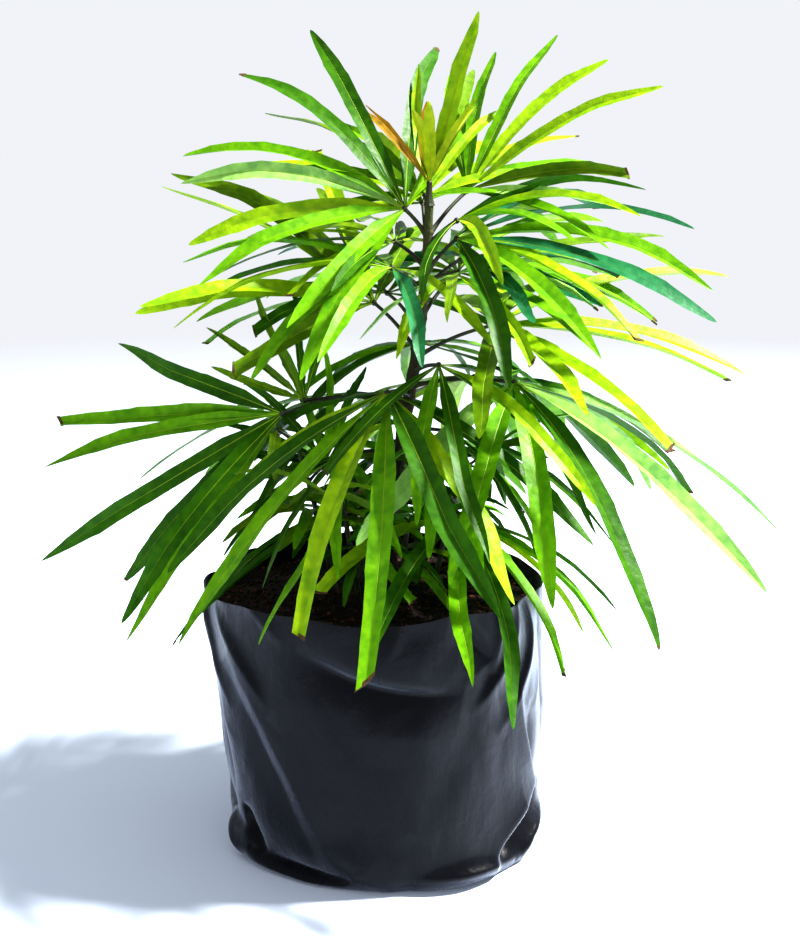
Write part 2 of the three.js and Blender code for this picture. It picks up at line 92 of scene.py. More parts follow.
GAP = 0.35
STALK_RADIUS = 1.2
STALK_ARCH = 0.05
STALK_TAPER = 0.2
HUB_RADIUS = 2.6
LEAFLET_SLENDERNESS = 14.5
LEAFLET_FOLD = 0.09
LEAFLET_STEPS = 50
ROOT_START = 0.4
CUT_STATION = 44
CUT_SHARE = 0.1
ATTEMPTS = 14
CORNER_MATCH = 0.03
GOLDEN_ANGLE = 137.5
DROOP_POWER = 1.2
ROOT_SHARE = 0.14
FULL_WIDTH_FROM = 0.24
WIDENING_POWER = 1.3
TIP_POWER = 0.7
TAPER_LENGTH = 0.26
SIDE_LEAFLET_SHARE = 0.62
SIDE_LEAFLET_FALL = 0.55
SCATTER = {"turn": 14, "cup": 18, "length": (0.88, 1.08), "droop": (0.75, 1.25), "twist": 90}
SCATTER_GROWTH = 0.15
SEEDS = {"leaflet": 20, "fan": 1000, "shoot_fan": 200, "shoots": 100000, "tip": 200000,
         "inner": 300000}

# Each fan: height above the soil, azimuth, rise and length of its stalk, then how far the
# fan turns from the stalk, its pitch and roll, the cup of its leaflets, their spread,
# count, length and droop, and last the tints that are dealt out to its leaflets. All tints
# but fresh are painted light: lime painted sunlight, pale a painted highlight, teal a
# painted sky reflection, and deep and olive painted shade.
FAN_FIELDS = ("name", "at", "azimuth", "rise", "stalk", "turn", "pitch", "roll", "cup",
              "spread", "count", "length", "droop", "tints")
FAN_ROWS = (
    ("upper_right", 205, 40, 40, 38, -30, 33, 40, 5, 130, 8, 112, 0.35,
     "olive fresh pale fresh lime"),
    ("right_high", 185, -15, 48, 26, 10, 14, 15, 0, 170, 9, 156, 0.75,
     "teal deep fresh pale lime"),
    ("right_inner", 180, -50, 15, 25, 0, 5, 10, 0, 190, 8, 100, 0.6, "fresh lime pale"),
    ("right_mid", 138, 5, 22, 48, 0, 8, 12, 0, 200, 9, 160, 0.45, "lime lime pale olive"),
    ("right_low", 122, -20, 5, 60, 0, -5, 12, -15, 220, 10, 176, 0.8, "fresh pale deep fresh"),
    ("front_low", 116, -108, 12, 40, -12, -10, 0, -22, 200, 9, 180, 0.75, "fresh lime deep"),
    ("front_right", 130, -60, 15, 28, 0, -10, 0, -20, 190, 8, 122, 0.75, "lime deep fresh"),
    ("upper_left", 205, 185, 50, 20, -15, 34, -44, 0, 190, 11, 140, 0.5,
     "lime fresh lime pale fresh deep"),
    ("left_high", 175, -155, 35, 24, 0, 10, -10, 0, 190, 9, 124, 0.8, "teal lime fresh deep"),
    ("left_back", 142, 140, 38, 40, 20, 35, -20, 5, 140, 9, 148, 0.4, "olive lime"),
    ("left_low", 118, 176, -10, 74, 14, -34, -62, -6, 116, 9, 150, 0.28, "deep fresh deep"),
    ("foot_left", 56, -150, -10, 32, 25, -8, 0, -18, 220, 9, 116, 0.8, "fresh deep"),
    ("foot_right", 56, -28, -10, 42, -58, 0, 0, -16, 210, 10, 142, 1, "fresh deep fresh lime"),
    ("back_upper", 195, 95, 50, 36, 0, 38, 0, 5, 190, 8, 130, 0.5, "olive fresh lime"),
    ("back_right", 160, 62, 25, 52, 0, 14, 0, 0, 200, 8, 145, 0.6, "fresh olive lime"),
    ("back_left", 152, 112, 20, 52, 0, 10, 0, 0, 200, 8, 145, 0.65, "fresh deep olive"),
    ("low_back_right", 118, 50, 2, 60, 0, -5, 0, -12, 210, 8, 160, 0.75, "fresh deep lime"),
    ("low_back_left", 108, 125, 2, 60, 0, -5, 0, -12, 210, 8, 160, 0.75, "deep fresh"),
    ("foot_back", 64, 95, -5, 42, 0, -5, 0, -12, 220, 8, 125, 0.95, "deep fresh"),
)

# Shorter fans close to the trunk that only show here, each with the fan whose solid stands
# for it as well.
INNER_FIELDS = (*FAN_FIELDS, "near")
# Their tints paint light and shade in the same way as the fans' tints do.
INNER_ROWS = (
    ("top", 214, 100, 55, 16, 0, 48, 0, 10, 190, 7, 84, 0.35, "fresh lime", "back_upper"),
    ("crown", 200, -20, 40, 22, 0, 22, 10, 0, 180, 8, 112, 0.6, "fresh deep lime", "right_high"),
    ("high", 176, 25, 35, 30, 0, 12, 10, 0, 190, 8, 122, 0.6, "fresh teal deep", "right_high"),
    ("side", 188, 150, 35, 24, 0, 15, -5, 0, 190, 8, 108, 0.6, "lime deep", "left_high"),
    ("middle", 134, 85, 10, 40, 0, 0, 0, -8, 200, 8, 120, 0.7, "deep fresh", "back_left"),
    ("low", 96, -35, 5, 34, 0, -8, 0, -12, 200, 8, 112, 0.9, "deep fresh", "front_right"),
    ("foot", 84, -165, 0, 34, 0, -8, 0, -12, 200, 8, 104, 0.9, "deep fresh", "foot_left"),
    ("heart", 88, 60, 0, 34, 0, -6, 0, -10, 200, 8, 110, 0.9, "deep fresh", "low_back_right"),
    ("left_rear", 112, 170, 0, 60, 0, 62, -70, 0, 80, 5, 66, 0.15, "deep olive", "left_low"),
    ("left_thicket", 60, 165, 20, 44, 0, 52, -60, 0, 160, 9, 72, 0.25,
     "deep deep fresh", "foot_left"),
)

# Each shoot: azimuth and distance from the trunk's foot, height, lean, leaflet length.
SHOOT_FIELDS = ("name", "azimuth", "distance", "height", "lean", "length")
SHOOT_ROWS = (
    ("shoot_front_left", -126, 26, 62, 16, 62),
    ("shoot_left", 175, 30, 88, 22, 66),
    ("shoot_front", -70, 22, 50, 10, 58),
    ("shoot_right", 10, 26, 72, 18, 62),
    ("shoot_back_right", 60, 28, 58, 16, 60),
    ("shoot_back_left", 120, 30, 70, 18, 62),
)
SHOOT_RADIUS = 1.7
SHOOT_LEVELS = (0.5, 0.74, 1)
SHOOT_STALK = 14
SHOOT_STALK_RADIUS = 0.8
SHOOT_HUB_RADIUS = 1.6
SHOOT_LEAFLET_WIDTH = 7
SHOOT_STALK_RISE = 35
SHOOT_PITCH = 12
SHOOT_PITCH_STEP = 14
SHOOT_FAN = {"turn": 0, "roll": 0, "cup": 4, "spread": 210, "count": 5, "droop": 0.7}
# Of the shoots' tints, deep and olive are painted shade and fresh is the leaf's own green.
SHOOT_TINTS = ("deep", "fresh", "olive")

TIP_LEAVES = 9
TIP_STEM = 10
TIP_STEM_RADIUS = 1.6
TIP_TALLEST = 92
TIP_LONGEST = 74
TIP_SHORTEST = 40
TIP_TALLEST_RISE = 76
TIP_LEAF_WIDTH = 6.4
TIP_TALLEST_WIDTH = 8.8
TIP_RISE = {"lowest": 38, "highest": 72, "scatter": 10}
TIP_SCATTER = {"azimuth": 16, "length": (0.9, 1.1), "twist": 60}
TIP_DROOP = 0.25
TIP_TALLEST_DROOP = -0.05
# Lime on the tallest young leaf is painted sunlight; young and bronze are the young leaves' own
# colours.
TIP_TINTS = ("lime", "bronze", "young", "young", "bronze", "young", "bronze", "young", "young")

# --- Sizes of what is only modelled here --------------------------------------------------

# The film's creases, drawn over the unrolled wall from one azimuth and level to another.
# Height is how far the crease stands out (a groove has less than 0), bow how far it curves
# to its left, and the widths fall off to its left and right.
CREASE_FIELDS = ("azimuth", "level", "to_azimuth", "to_level", "bow", "height", "left", "right")
CREASES = (
    # A wide dent under the front rim: a bulge, a step inwards, then a slow rise
    (243, 0.89, 300, 0.73, -4, 1.4, 15, 4),
    (243, 0.88, 300, 0.72, -4, -8.5, 4.2, 13),
    (262, 0.6, 296, 0.56, 3, 1.0, 12, 14),
    # The left side: a long slanting fold and its hollow, and shorter ones from the corner
    (213, 0.84, 254, 0.06, 6, 3.2, 22, 9),
    (209, 0.78, 248, 0.05, 6, -3.0, 9, 12),
    (200, 0.99, 233, 0.64, 3, 3.2, 3, 9),
    (190, 0.99, 212, 0.6, 2, 3.0, 2.4, 8),
    (196, 0.7, 206, 0.24, 2, -2.4, 5, 8),
    (186, 0.95, 193, 0.2, -2, -2.0, 6, 5),
    # The tuck at the lower left, with the seam's flare below it
    (213, 0.24, 222, 0.06, -1, -7.0, 5, 1.6),
    (216, 0.075, 259, 0.05, -2, -8.5, 7, 1.4),
    (199, 0.17, 212, 0.02, -2, 4.2, 5, 6),
    (212, 0.025, 256, 0.02, -1, 2.6, 4, 4),
    (180, 0.21, 219, 0.14, -2, -4.4, 15, 2.2),
    # The pocket at the lower right, with a bright lip
    (326, 0.2, 362, 0.21, 2, -4.0, 15, 2.2),
    (311, 0.035, 346, 0.25, 5, -9.5, 1.6, 6),
    (309, 0.06, 343, 0.31, 6, 4.6, 9, 1.6),
    (322, 0.02, 352, 0.15, 5, 5.0, 3, 5),
    (280, 0.055, 324, 0.04, 2, 7.0, 4, 18),
    # The right side: streaks from the right corner and down from it
    (296, 1.06, 311, 0.82, 0, -5.4, 2, 9),
    (318, 1.03, 312, 0.78, 1, 3.6, 5, 3),
    (331, 1.01, 303, 0.64, 3, 4.0, 10, 2),
    (341, 0.99, 314, 0.54, 2, 3.6, 9, 2),
    (323, 0.72, 341, 0.2, -3, 3.8, 2, 9),
    (334, 0.62, 340, 0.24, -2, -2.2, 4, 5),
    (347, 0.94, 351, 0.3, 2, -2.4, 5, 6),
    # Shallow ones across the front
    (262, 0.5, 302, 0.42, 3, -1.4, 9, 15),
    (258, 0.3, 290, 0.22, 3, 1.0, 12, 12),
    (222, 1.03, 241, 0.9, 0, 1.7, 6, 4),
    # The wrinkled left corner of the mouth, which shows from inside as well
    (172, 1.1, 169, 0.84, 0, -2.6, 1.4, 3),
    (161, 1.1, 164, 0.8, 0, 2.4, 1.6, 3),
    (152, 1.1, 149, 0.82, 0, -2.4, 1.5, 3.5),
    (190, 1.12, 197, 0.8, 0, 2.6, 4, 1.6),
    # Round the back
    (8, 0.96, 22, 0.24, -3, 2.6, 6, 4),
    (30, 0.95, 62, 0.58, 3, 3.0, 5, 12),
    (66, 0.9, 106, 0.76, -2, -6.0, 2.4, 17),
    (84, 0.62, 58, 0.08, 4, 3.6, 16, 6),
    (22, 0.05, 66, 0.14, -3, -6.4, 2.4, 8),
    (112, 0.5, 146, 0.36, 2, -3.0, 4, 12),
    (152, 0.94, 118, 0.42, 3, 3.2, 8, 5),
    (170, 0.16, 116, 0.05, 4, -6.8, 2.4, 9),
    (164, 0.9, 168, 0.3, 2, -2.4, 5, 5),
    (136, 1.05, 148, 0.84, 0, 2.4, 3, 6),
)
FOLD_RADIUS = 1.5
CREASE_END_POWER = 0.8
CREASE_END_FADE = 4
LOOSE_CREASES = {"count": 52, "seed": 7, "level": (0.02, 1.02), "slant": (35, 85),
                 "length": (14, 46), "width": (1.4, 5), "height": (0.25, 0.9),
                 "bow": (-2, 2), "spread": (1, 3)}

# Each fold of the rim: its azimuth, how far the rim rises there, its width, and how far the
# wall is pushed out.
RIM_FOLDS = ((127, 4.5, 7, -5), (143, 2.0, 6, 3), (236, -1.6, 8, 0), (300, 1.6, 7, 2),
             (340, 2.0, 9, -2))
RIM_SLACK_FROM = 0.88
RIM_WRINKLES = {"height": 1.1, "size": (17, 17, 400), "seed": 21}

# Relief by noise: its height, size, octaves and seed.
FILM_RIPPLES = (0.55, 42, 3, 3)
FILM_CRUMPLE = (0.3, 13, 2, 11)
FILM_CRUMPLE_STRETCH = (1, 1, 0.5)
SOIL_LUMPS = (1.5, 15, 2, 31)
SOIL_GRAIN = (0.9, 5, 3, 41)
BARK_FURROWS = (0.75, 2.4, 3, 51)
BARK_WARTS = (0.3, 1.6, 1, 61)

# Rows of the bag's wall: close together up the foot, and wider above it. The inside shows
# down to where the soil starts, and is plain below.
FOOT_TOP = 0.12
FOOT_ROWS = 26
WALL_ROWS = 118
INSIDE_LOWEST = 0.9
INSIDE_ROWS = 16
BURIED_LEVELS = (0.86, 0.7, 0.4, 0.12, 0.04)
BURIED_INSET = 11

SOIL_SLACK = 12
SOIL_UNDERSIDE = 2.0
SOIL_WALL_LEVELS = (0.1, 0.5, 0.8)
SOIL_MIDDLE_SHARE = 0.004
SOIL_EDGE_CALM = 0.6
SOIL_CALM_POWER = 6
SOIL_MOUND = {"height": 2.2, "radius": 13}
CRUMB_SPREAD = 0.94
CRUMB_SIZES = (0.6, 1)
CRUMB_LENGTHS = (0.8, 1.6)
CRUMB_BREADTHS = (0.6, 1)
CRUMB_JITTER = (0.72, 1.15)
CRUMB_UPRIGHT = 1.5
CRUMB_LIFT = 0.35

# The bark: lips above and below each leaf scar, on its own side, and a ring all round, each
# with its height, place and width. Then furrows, warts and roots.
SCAR_LIPS = ((0.85, -0.8, 1.1), (-0.45, 1.0, 0.8))
SCAR_RING = (0.22, 0.0, 0.7)
SCAR_SIDE_WIDTH = 55
BARK_GRAIN_RADIUS = 4
BARK_GRAIN_STRETCH = 0.22
WART_STRETCH = (1, 1, 4)
WART_THRESHOLD = 0.35
BARK_PROUD = 0.2
BARK_SMOOTHING = 0.5
ROOTS = {"count": 5, "start": 30, "swell": 0.3, "height": 4}

# How leaflets bend away from the solids: shares of their length, and of the usual fold.
BLADE_BENDS = {"swing": (-0.026, 0.026), "curl": (-0.045, 0.01),
               "hook": (-0.05, 0.05), "fold": (0.4, 1.5)}
HOOK_FROM = 0.62
CURL_FROM = 0.6
FOLD_FALL = 0.4
USUAL_WIDTH = 13
TIP_POWERS = (0.42, 0.75)
CUT_END = CUT_STATION / LEAFLET_STEPS
CUT_SLANT = (0.3, 0.9)
CUT_SLANT_REACH = 0.06
CUT_NARROWING = 0.72
CUT_NARROWS_FROM = 0.5

# A blade's rows at its root and end, and the teeth between them.
BLADE_LEADS = (0.0, 0.06, 0.12)
BLADE_ENDS = (0.96, 0.986, 1.0)
BLADE_SHARP_FROM = 24
LEAST_HALF_WIDTH = 0.12
ROOT_THICKNESS = 0.35
TOOTH_FROM = 0.15
TOOTH_TO = 0.94
TOOTH_SCATTER = 0.16
TOOTH_NOTCH = 0.26
TOOTH_SIZES = (0.35, 1.0)
SMALL_TOOTH = 0.25
TOOTH_DEPTH = 0.2
TOOTH_GROWTH = 1.4
TOOTHED_HALF_WIDTH = 1
MARGIN_WAVES = (1.6, 3.4)
MAIN_TEETH = 7
LOW_TEETH = 3
TIP_TEETH = 5

# Heights over and under the midrib's line. A midrib's width and its ridge both fall towards
# the tip, and its width is held to a share of the blade's.
GROOVE_HEIGHT = 0.05
RIDGE_HEIGHT = 0.1
RIB_SINK = 0.08
RIB_END = 1.05
RIDGE_END = 1.1
RIB_WIDEST = 0.8

# Dry ends: how far they reach back from a cut end and from a whole tip, how far they reach
# past the end, how ragged they are and how far they stand proud.
SCORCH = {"rows": 5, "cut": 0.01, "whole": (0.012, 0.04), "past": 0.002, "ragged": 0.06,
          "least": 0.14, "proud": 0.12}

# How much a stalk swells at its foot and at its hub, and over what length.
STALK_SHEATH = (1.1, 3.5)
STALK_SWELL = (0.25, 2.5)
KNOB_SHARE = 0.66
KNOB_POLE = 0.04


def lerp(low, high, k):
    return low + (high - low) * k


def unit(v):
    """Each vector divided by its own length."""
    return v / np.maximum(np.linalg.norm(v, axis=-1, keepdims=True), 1e-12)


def vector(azimuth, rise):
    """The unit vector at an azimuth and a rise."""
    a, e = math.radians(azimuth), math.radians(rise)
    return np.array((math.cos(a) * math.cos(e), math.sin(a) * math.cos(e), math.sin(e)))


def turned(v, axis, degrees):
    """v turned about an axis: v cos t + (axis x v) sin t + axis (axis . v)(1 - cos t)."""
    t = np.radians(degrees)[..., None]
    along = np.sum(axis * v, axis=-1, keepdims=True)
    return v * np.cos(t) + np.cross(axis, v) * np.sin(t) + axis * along * (1 - np.cos(t))


def bump(offset, half_width):
    """A rounded bump: e to the power of minus (offset / half width) squared, so 1 at the
    middle and gone by about twice the half width."""
    return np.exp(-((offset / half_width) ** 2))


def bearing(start, end):
    """The difference between two bearings, from -180 to 180 degrees."""
    return (start - end + 180) % 360 - 180


def smooth_step(low, high, x):
    """0 below low, 1 above high, and 3t^2 - 2t^3 between."""
    t = np.clip((x - low) / (high - low), 0, 1)
    return t * t * (3 - 2 * t)


def random_from(seed):
    """A repeatable source of numbers from 0 to 1 (mulberry32), the one the solids use."""
    state = seed & MASK

    def draw():
        nonlocal state
        state = (state + 0x6D2B79F5) & MASK
        mixed = ((state ^ (state >> 15)) * (state | 1)) & MASK
        mixed ^= (mixed + (((mixed ^ (mixed >> 7)) * (mixed | 61)) & MASK)) & MASK
        return (mixed ^ (mixed >> 14)) / 4294967296

    return draw


def lattice_noise(points, seed):
    """Smooth noise from -1 to 1: a random number at each whole-number point of space,
    blended along each axis by 3t^2 - 2t^3."""
    cell = np.floor(points).astype(np.int64)
    part = points - cell
    blend = part * part * (3 - 2 * part)
    total = np.zeros(points.shape[:-1])
    for corner in itertools.product((0, 1), repeat=3):
        x, y, z = np.moveaxis((cell + corner).astype(np.uint64), -1, 0)
        mixed = (x * 73856093 ^ y * 19349663 ^ z * 83492791 ^ np.uint64(seed * 40503)) & MASK
        mixed = ((mixed ^ (mixed >> 15)) * 2246822519) & MASK
        mixed = ((mixed ^ (mixed >> 13)) * 3266489917) & MASK
        value = (mixed ^ (mixed >> 16)).astype(float) / MASK * 2 - 1
        total += value * np.prod(np.where(corner, blend, 1 - blend), axis=-1)
    return total


def fractal(points, size, octaves, seed):
    """Noise summed over octaves, each half as large and half as high as the one before."""
    return sum(
        lattice_noise(points * (2**octave / size), seed + octave) / 2**octave
        for octave in range(octaves)
    )


def relief(points, height, size, octaves, seed):
    """Fractal noise of a given height."""
    return height * fractal(points, size, octaves, seed)


# --- Meshes -------------------------------------------------------------------------------


def mesh_piece(name, points, faces, finish, slot, nodes, sharp_from=30):
    """A new piece from points in millimetres and arrays of faces, each array with faces of
    one size. Edges between faces that meet at a larger angle than sharp_from stay sharp."""
    mesh = bpy.data.meshes.new(name)
    mesh.vertices.add(len(points))
    mesh.vertices.foreach_set("co", (np.asarray(points) * MM).astype(np.float32).ravel())
    corners = np.concatenate([f.ravel() for f in faces]).astype(np.int32)
    sizes = np.concatenate([np.full(len(f), f.shape[1]) for f in faces])
    starts = np.concatenate([[0], np.cumsum(sizes)[:-1]]).astype(np.int32)
    mesh.loops.add(len(corners))
    mesh.loops.foreach_set("vertex_index", corners)
    mesh.polygons.add(len(starts))
    mesh.polygons.foreach_set("loop_start", starts)
    mesh.update(calc_edges=True)
    if mesh.validate():
        raise ValueError(f"{name} has faces that aren't a proper mesh")
    mesh.polygons.foreach_set("use_smooth", np.ones(len(starts), dtype=bool))
    mesh.set_sharp_from_angle(angle=math.radians(sharp_from))
    mesh.materials.append(finish)
    piece = bpy.data.objects.new(name, mesh)
    bpy.context.scene.collection.objects.link(piece)
    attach(piece, "root")
    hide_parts(*nodes)
    return piece


def skin(rings):
    """Points and faces of closed bodies. rings holds, for each body, rings of equal size,
    each counterclockwise round the way ahead; neighbours are joined and both ends closed."""
    bodies, ring_count, sides, _ = rings.shape
    index = np.arange(bodies * ring_count * sides).reshape(bodies, ring_count, sides)
    ahead = np.roll(index, -1, axis=2)
    walls = np.stack([index[:, :-1], ahead[:, :-1], ahead[:, 1:], index[:, 1:]], axis=-1)
    ends = np.concatenate([index[:, 0, ::-1], index[:, -1]])
    return rings.reshape(-1, 3), [walls.reshape(-1, 4), ends]


def joined(parts):
    """One list of points and faces from several, with the faces renumbered."""
    points, faces, offset = [], [], 0
    for part_points, part_faces in parts:
        points.append(part_points)
        faces.extend(f + offset for f in part_faces)
        offset += len(part_points)
    return np.concatenate(points), faces


def tubes(paths, radii, sides):
    """Rings round many paths at once, each square to its path: centre + radius times
    (across cos t + above sin t)."""
    ahead = unit(np.gradient(paths, axis=1))
    steep = np.abs(unit(paths[:, -1] - paths[:, 0])[:, 2]) > 0.9
    reference = np.where(steep[:, None], np.array((1.0, 0, 0)), UP)[:, None, :]
    across = unit(np.cross(reference, ahead))
    above = np.cross(ahead, across)
    t = 2 * np.pi * np.arange(sides) / sides
    around = (across[:, :, None] * np.cos(t)[:, None] + above[:, :, None] * np.sin(t)[:, None])
    return paths[:, :, None] + around * radii[:, :, None, None]


# --- Materials ----------------------------------------------------------------------------


class Signal:
    """A socket's output that takes part in sums; each sum adds its Math node."""

    def __init__(self, owner, socket):
        self.owner = owner
        self.socket = socket

    def math(self, operation, *values):
        return self.owner.node("ShaderNodeMath", {"operation": operation}, dict(enumerate(values)))

    def __add__(self, other):
        return self.math("ADD", self, other)

    def __mul__(self, other):
        return self.math("MULTIPLY", self, other)

    def __sub__(self, other):
        return self.math("SUBTRACT", self, other)

    def __rsub__(self, other):
        return self.math("SUBTRACT", other, self)

    def __pow__(self, other):
        return self.math("POWER", self, other)

    __radd__ = __add__
    __rmul__ = __mul__

    def between(self, low, high):
        """0 at low and 1 at high, held at both ends."""
        inputs = {"Value": self, "From Min": low, "From Max": high}
        return self.owner.node("ShaderNodeMapRange", {"clamp": True}, inputs)


class Shading:
    """The nodes of a material or a world."""

    MIX_FACTOR, MIX_A, MIX_B, MIX_RESULT = 0, 6, 7, 2

    def __init__(self, owner):
        owner.use_nodes = True
        self.tree = owner.node_tree

    def put(self, socket, value):
        """A link from a signal, or a plain value; a colour gets its alpha of 1."""
        if isinstance(value, Signal):
            self.tree.links.new(value.socket, socket)
        elif socket.type == "RGBA":
            socket.default_value = (*value, 1)
        else:
            socket.default_value = value

    def node(self, kind, settings=None, inputs=None, output=0):
        """Any node: its settings are set first, then its sockets' values or links."""
        made = self.tree.nodes.new(kind)
        for name, value in (settings or {}).items():
            setattr(made, name, value)
        for name, value in (inputs or {}).items():
            self.put(made.inputs[name], value)
        return Signal(self, made.outputs[output])

    def mix(self, factor, first, second):
        """A colour between two others."""
        inputs = {self.MIX_FACTOR: factor, self.MIX_A: first, self.MIX_B: second}
        return self.node("ShaderNodeMix", {"data_type": "RGBA"}, inputs, self.MIX_RESULT)


class Finish(Shading):
    """A procedural material that is read on the piece's own Object coordinates."""

    def __init__(self, name, **constants):
        self.material = bpy.data.materials.new(name)
        super().__init__(self.material)
        self.surface = self.tree.nodes["Principled BSDF"]
        for socket, value in constants.items():
            self.put(self.surface.inputs[socket.replace("_", " ")], value)
        self.place = self.node("ShaderNodeTexCoord", output="Object")

    def noise(self, scale, detail=2.0, roughness=0.5, distortion=0.0, place=None):
        inputs = {"Vector": place or self.place, "Scale": scale, "Detail": detail,
                  "Roughness": roughness, "Distortion": distortion}
        return self.node("ShaderNodeTexNoise", inputs=inputs, output="Fac")

    def stretched(self, x, y, z):
        """Object coordinates scaled along each axis."""
        return self.node("ShaderNodeMapping", inputs={"Vector": self.place, "Scale": (x, y, z)})

    def colour(self, value):
        self.put(self.surface.inputs["Base Color"], value)

    def roughness(self, value):
        self.put(self.surface.inputs["Roughness"], value)

    def relief(self, height, distance, strength=1.0):
        """A bump of this height, in metres, on the surface's normal."""
        inputs = {"Height": height, "Distance": distance, "Strength": strength}
        self.put(self.surface.inputs["Normal"], self.node("ShaderNodeBump", inputs=inputs))

    def see_light_through(self, colour, share):
        """Mixes in a share of light that comes through from behind."""
        through = self.node("ShaderNodeBsdfTranslucent", inputs={"Color": colour})
        own = Signal(self, self.surface.outputs["BSDF"])
        both = self.node("ShaderNodeMixShader", inputs={0: share, 1: own, 2: through})
        self.put(self.tree.nodes["Material Output"].inputs["Surface"], both)


def scaled(colour, *shares):
    """A colour with each channel multiplied and held at 1."""
    shares = shares if len(shares) == 3 else shares * 3
    return tuple(min(1.0, c * s) for c, s in zip(colour, shares))


def film_finish(bag):
    """Black polythene: near black with a cool sheen, faint stretch marks and scuffs."""
    m = Finish("black_film", Specular_IOR_Level=0.1, Sheen_Weight=0.6, Sheen_Roughness=0.4,
               Sheen_Tint=(0.72, 0.8, 1.0))
    haze = m.noise(38, 3, 0.55)
    marks = m.noise(300, 2, 0.6, place=m.stretched(1, 1, 0.18))
    m.colour(m.mix(haze.between(0.35, 0.75), bag.colour, scaled(bag.colour, 1.9)))
    m.roughness(bag.roughness + 0.16 * haze + 0.08 * marks)
    ripple = m.noise(95, 3, 0.55, 0.6) + 0.35 * marks
    m.relief(ripple, 0.0006, 0.6)
    return m.material


def soil_finish(soil, name, colour):
    """Damp potting soil: crumbly, with darker wet patches."""
    m = Finish(name, Specular_IOR_Level=0.25)
    crumb = m.noise(420, 4, 0.65)
    patch = m.noise(55, 2)
    dark = scaled(colour, 0.35)
    m.colour(m.mix((crumb * patch).between(0.12, 0.42), dark, scaled(colour, 1.5)))
    m.roughness(0.78 + 0.22 * crumb)
    m.relief(crumb, 0.0012, 0.9)
    return m.material


def bark_finish(bark):
    """Thin dark bark, greener towards the top, with pale lenticels and lichen-grey skin."""
    m = Finish("young_bark", Specular_IOR_Level=0.35)
    height = m.node("ShaderNodeSeparateXYZ", inputs={"Vector": m.place}, output="Z")
    streak = m.noise(260, 4, 0.6, place=m.stretched(1, 1, 0.16))
    fleck = m.noise(620, 2, 0.5, place=m.stretched(0.6, 0.6, 1.4))
    brown = m.mix(streak.between(0.3, 0.72), scaled(bark.colour, 0.45), scaled(bark.colour, 2.1))
    green = m.mix(height.between(0.27, 0.37), brown, bark.green)
    m.colour(m.mix(fleck.between(0.66, 0.74) * 0.55, green, bark.lenticel))
    m.roughness(0.62 + 0.3 * streak)
    m.relief(streak + 0.5 * fleck, 0.0007, 0.8)
    return m.material


def stalk_finish(name, colour, shade):
    """A smooth stalk, mottled from green to brown."""
    m = Finish(name, Specular_IOR_Level=0.45)
    blotch = m.noise(110, 3, 0.55)
    fine = m.noise(900, 2)
    m.colour(m.mix(blotch.between(0.38, 0.62), colour, shade))
    m.roughness(0.42 + 0.18 * fine)
    m.relief(fine, 0.0002, 0.5)
    return m.material


def leaf_finish(name, colour, leaf):
    """A thin glossy leaf: mottled green with large patches that are partly painted shadow, a fine
    pebbled skin, and light from behind.
    """
    m = Finish(name, Specular_IOR_Level=0.15)
    patch = m.noise(46, 2, 0.5)
    mottle = m.noise(220, 2, 0.4)
    pebble = m.noise(800, 2, 0.5)
    # The large patches are partly painted shadow: they darken the leaf in places and also drift
    # its hue. The small mottle is the leaf's own.
    mottle_and_painted_shadow = (0.45 * patch + 0.55 * mottle).between(0.34, 0.66)
    m.colour(m.mix(mottle_and_painted_shadow, scaled(colour, 0.55, 0.66, 0.9), scaled(colour, 1.4, 1.22, 1.5)))
    m.roughness(leaf.roughness + 0.12 * pebble + 0.1 * mottle)
    m.relief(0.2 * pebble + 2.0 * mottle, 0.0003, 0.6)
    m.see_light_through(scaled(colour, 1.5, 1.25, 0.6), leaf.translucency)
    return m.material


def plain_finish(name, colour, roughness, fleck):
    """A small dry part: one colour with darker flecks."""
    m = Finish(name, Specular_IOR_Level=0.3)
    spots = m.noise(700, 2)
    m.colour(m.mix(spots.between(0.35, 0.7), colour, scaled(colour, fleck)))
    m.roughness(roughness + 0.1 * spots)
    m.relief(spots, 0.0003, 0.5)
    return m.material


# --- Grow bag -----------------------------------------------------------------------------


def bumps_round(azimuth, depth, azimuths, width):
    """How far a set of equal bumps, one at each of its azimuths, stands out: their sum."""
    return sum(depth * bump(bearing(azimuth, middle), width) for middle in azimuths)


def rim_height(azimuth):
    """The height of the wavy rim: the sines of the solids, and a few folds of its own."""
    waves = sum(h * np.sin(np.radians(count * azimuth + start)) for h, count, start in RIM_WAVES)
    folds = sum(rise * bump(bearing(azimuth, at), width) for at, rise, width, _ in RIM_FOLDS)
    return BAG_HEIGHT + waves + folds


def crease_relief(azimuth, level, crease):
    """A line over the unrolled wall. Its height fades to both ends as a power of a sine, and
    away from the line as an exponential that has one width to the left and another to the
    right, so the line itself stays a fold, rounded by the fold's own radius."""
    middle_radius = (BAG_BASE_RADIUS + BAG_RIM_RADIUS) / 2
    per_degree = math.radians(middle_radius)
    x = bearing(azimuth, crease["azimuth"]) * per_degree
    z = (level - crease["level"]) * BAG_HEIGHT
    run = bearing(crease["to_azimuth"], crease["azimuth"]) * per_degree
    rise = (crease["to_level"] - crease["level"]) * BAG_HEIGHT
    length = math.hypot(run, rise)
    along = (x * run + z * rise) / length**2
    inside = np.clip(along, 0, 1)
    off = (run * z - rise * x) / length - crease["bow"] * 4 * inside * (1 - inside)
    beyond = (along - inside) * length
    away = np.sqrt(off**2 + FOLD_RADIUS**2) - FOLD_RADIUS
    fall = np.exp(-away / np.where(off > 0, crease["left"], crease["right"]))
    swell = np.sin(np.pi * inside) ** CREASE_END_POWER
    return crease["height"] * swell * fall * bump(beyond, CREASE_END_FADE)


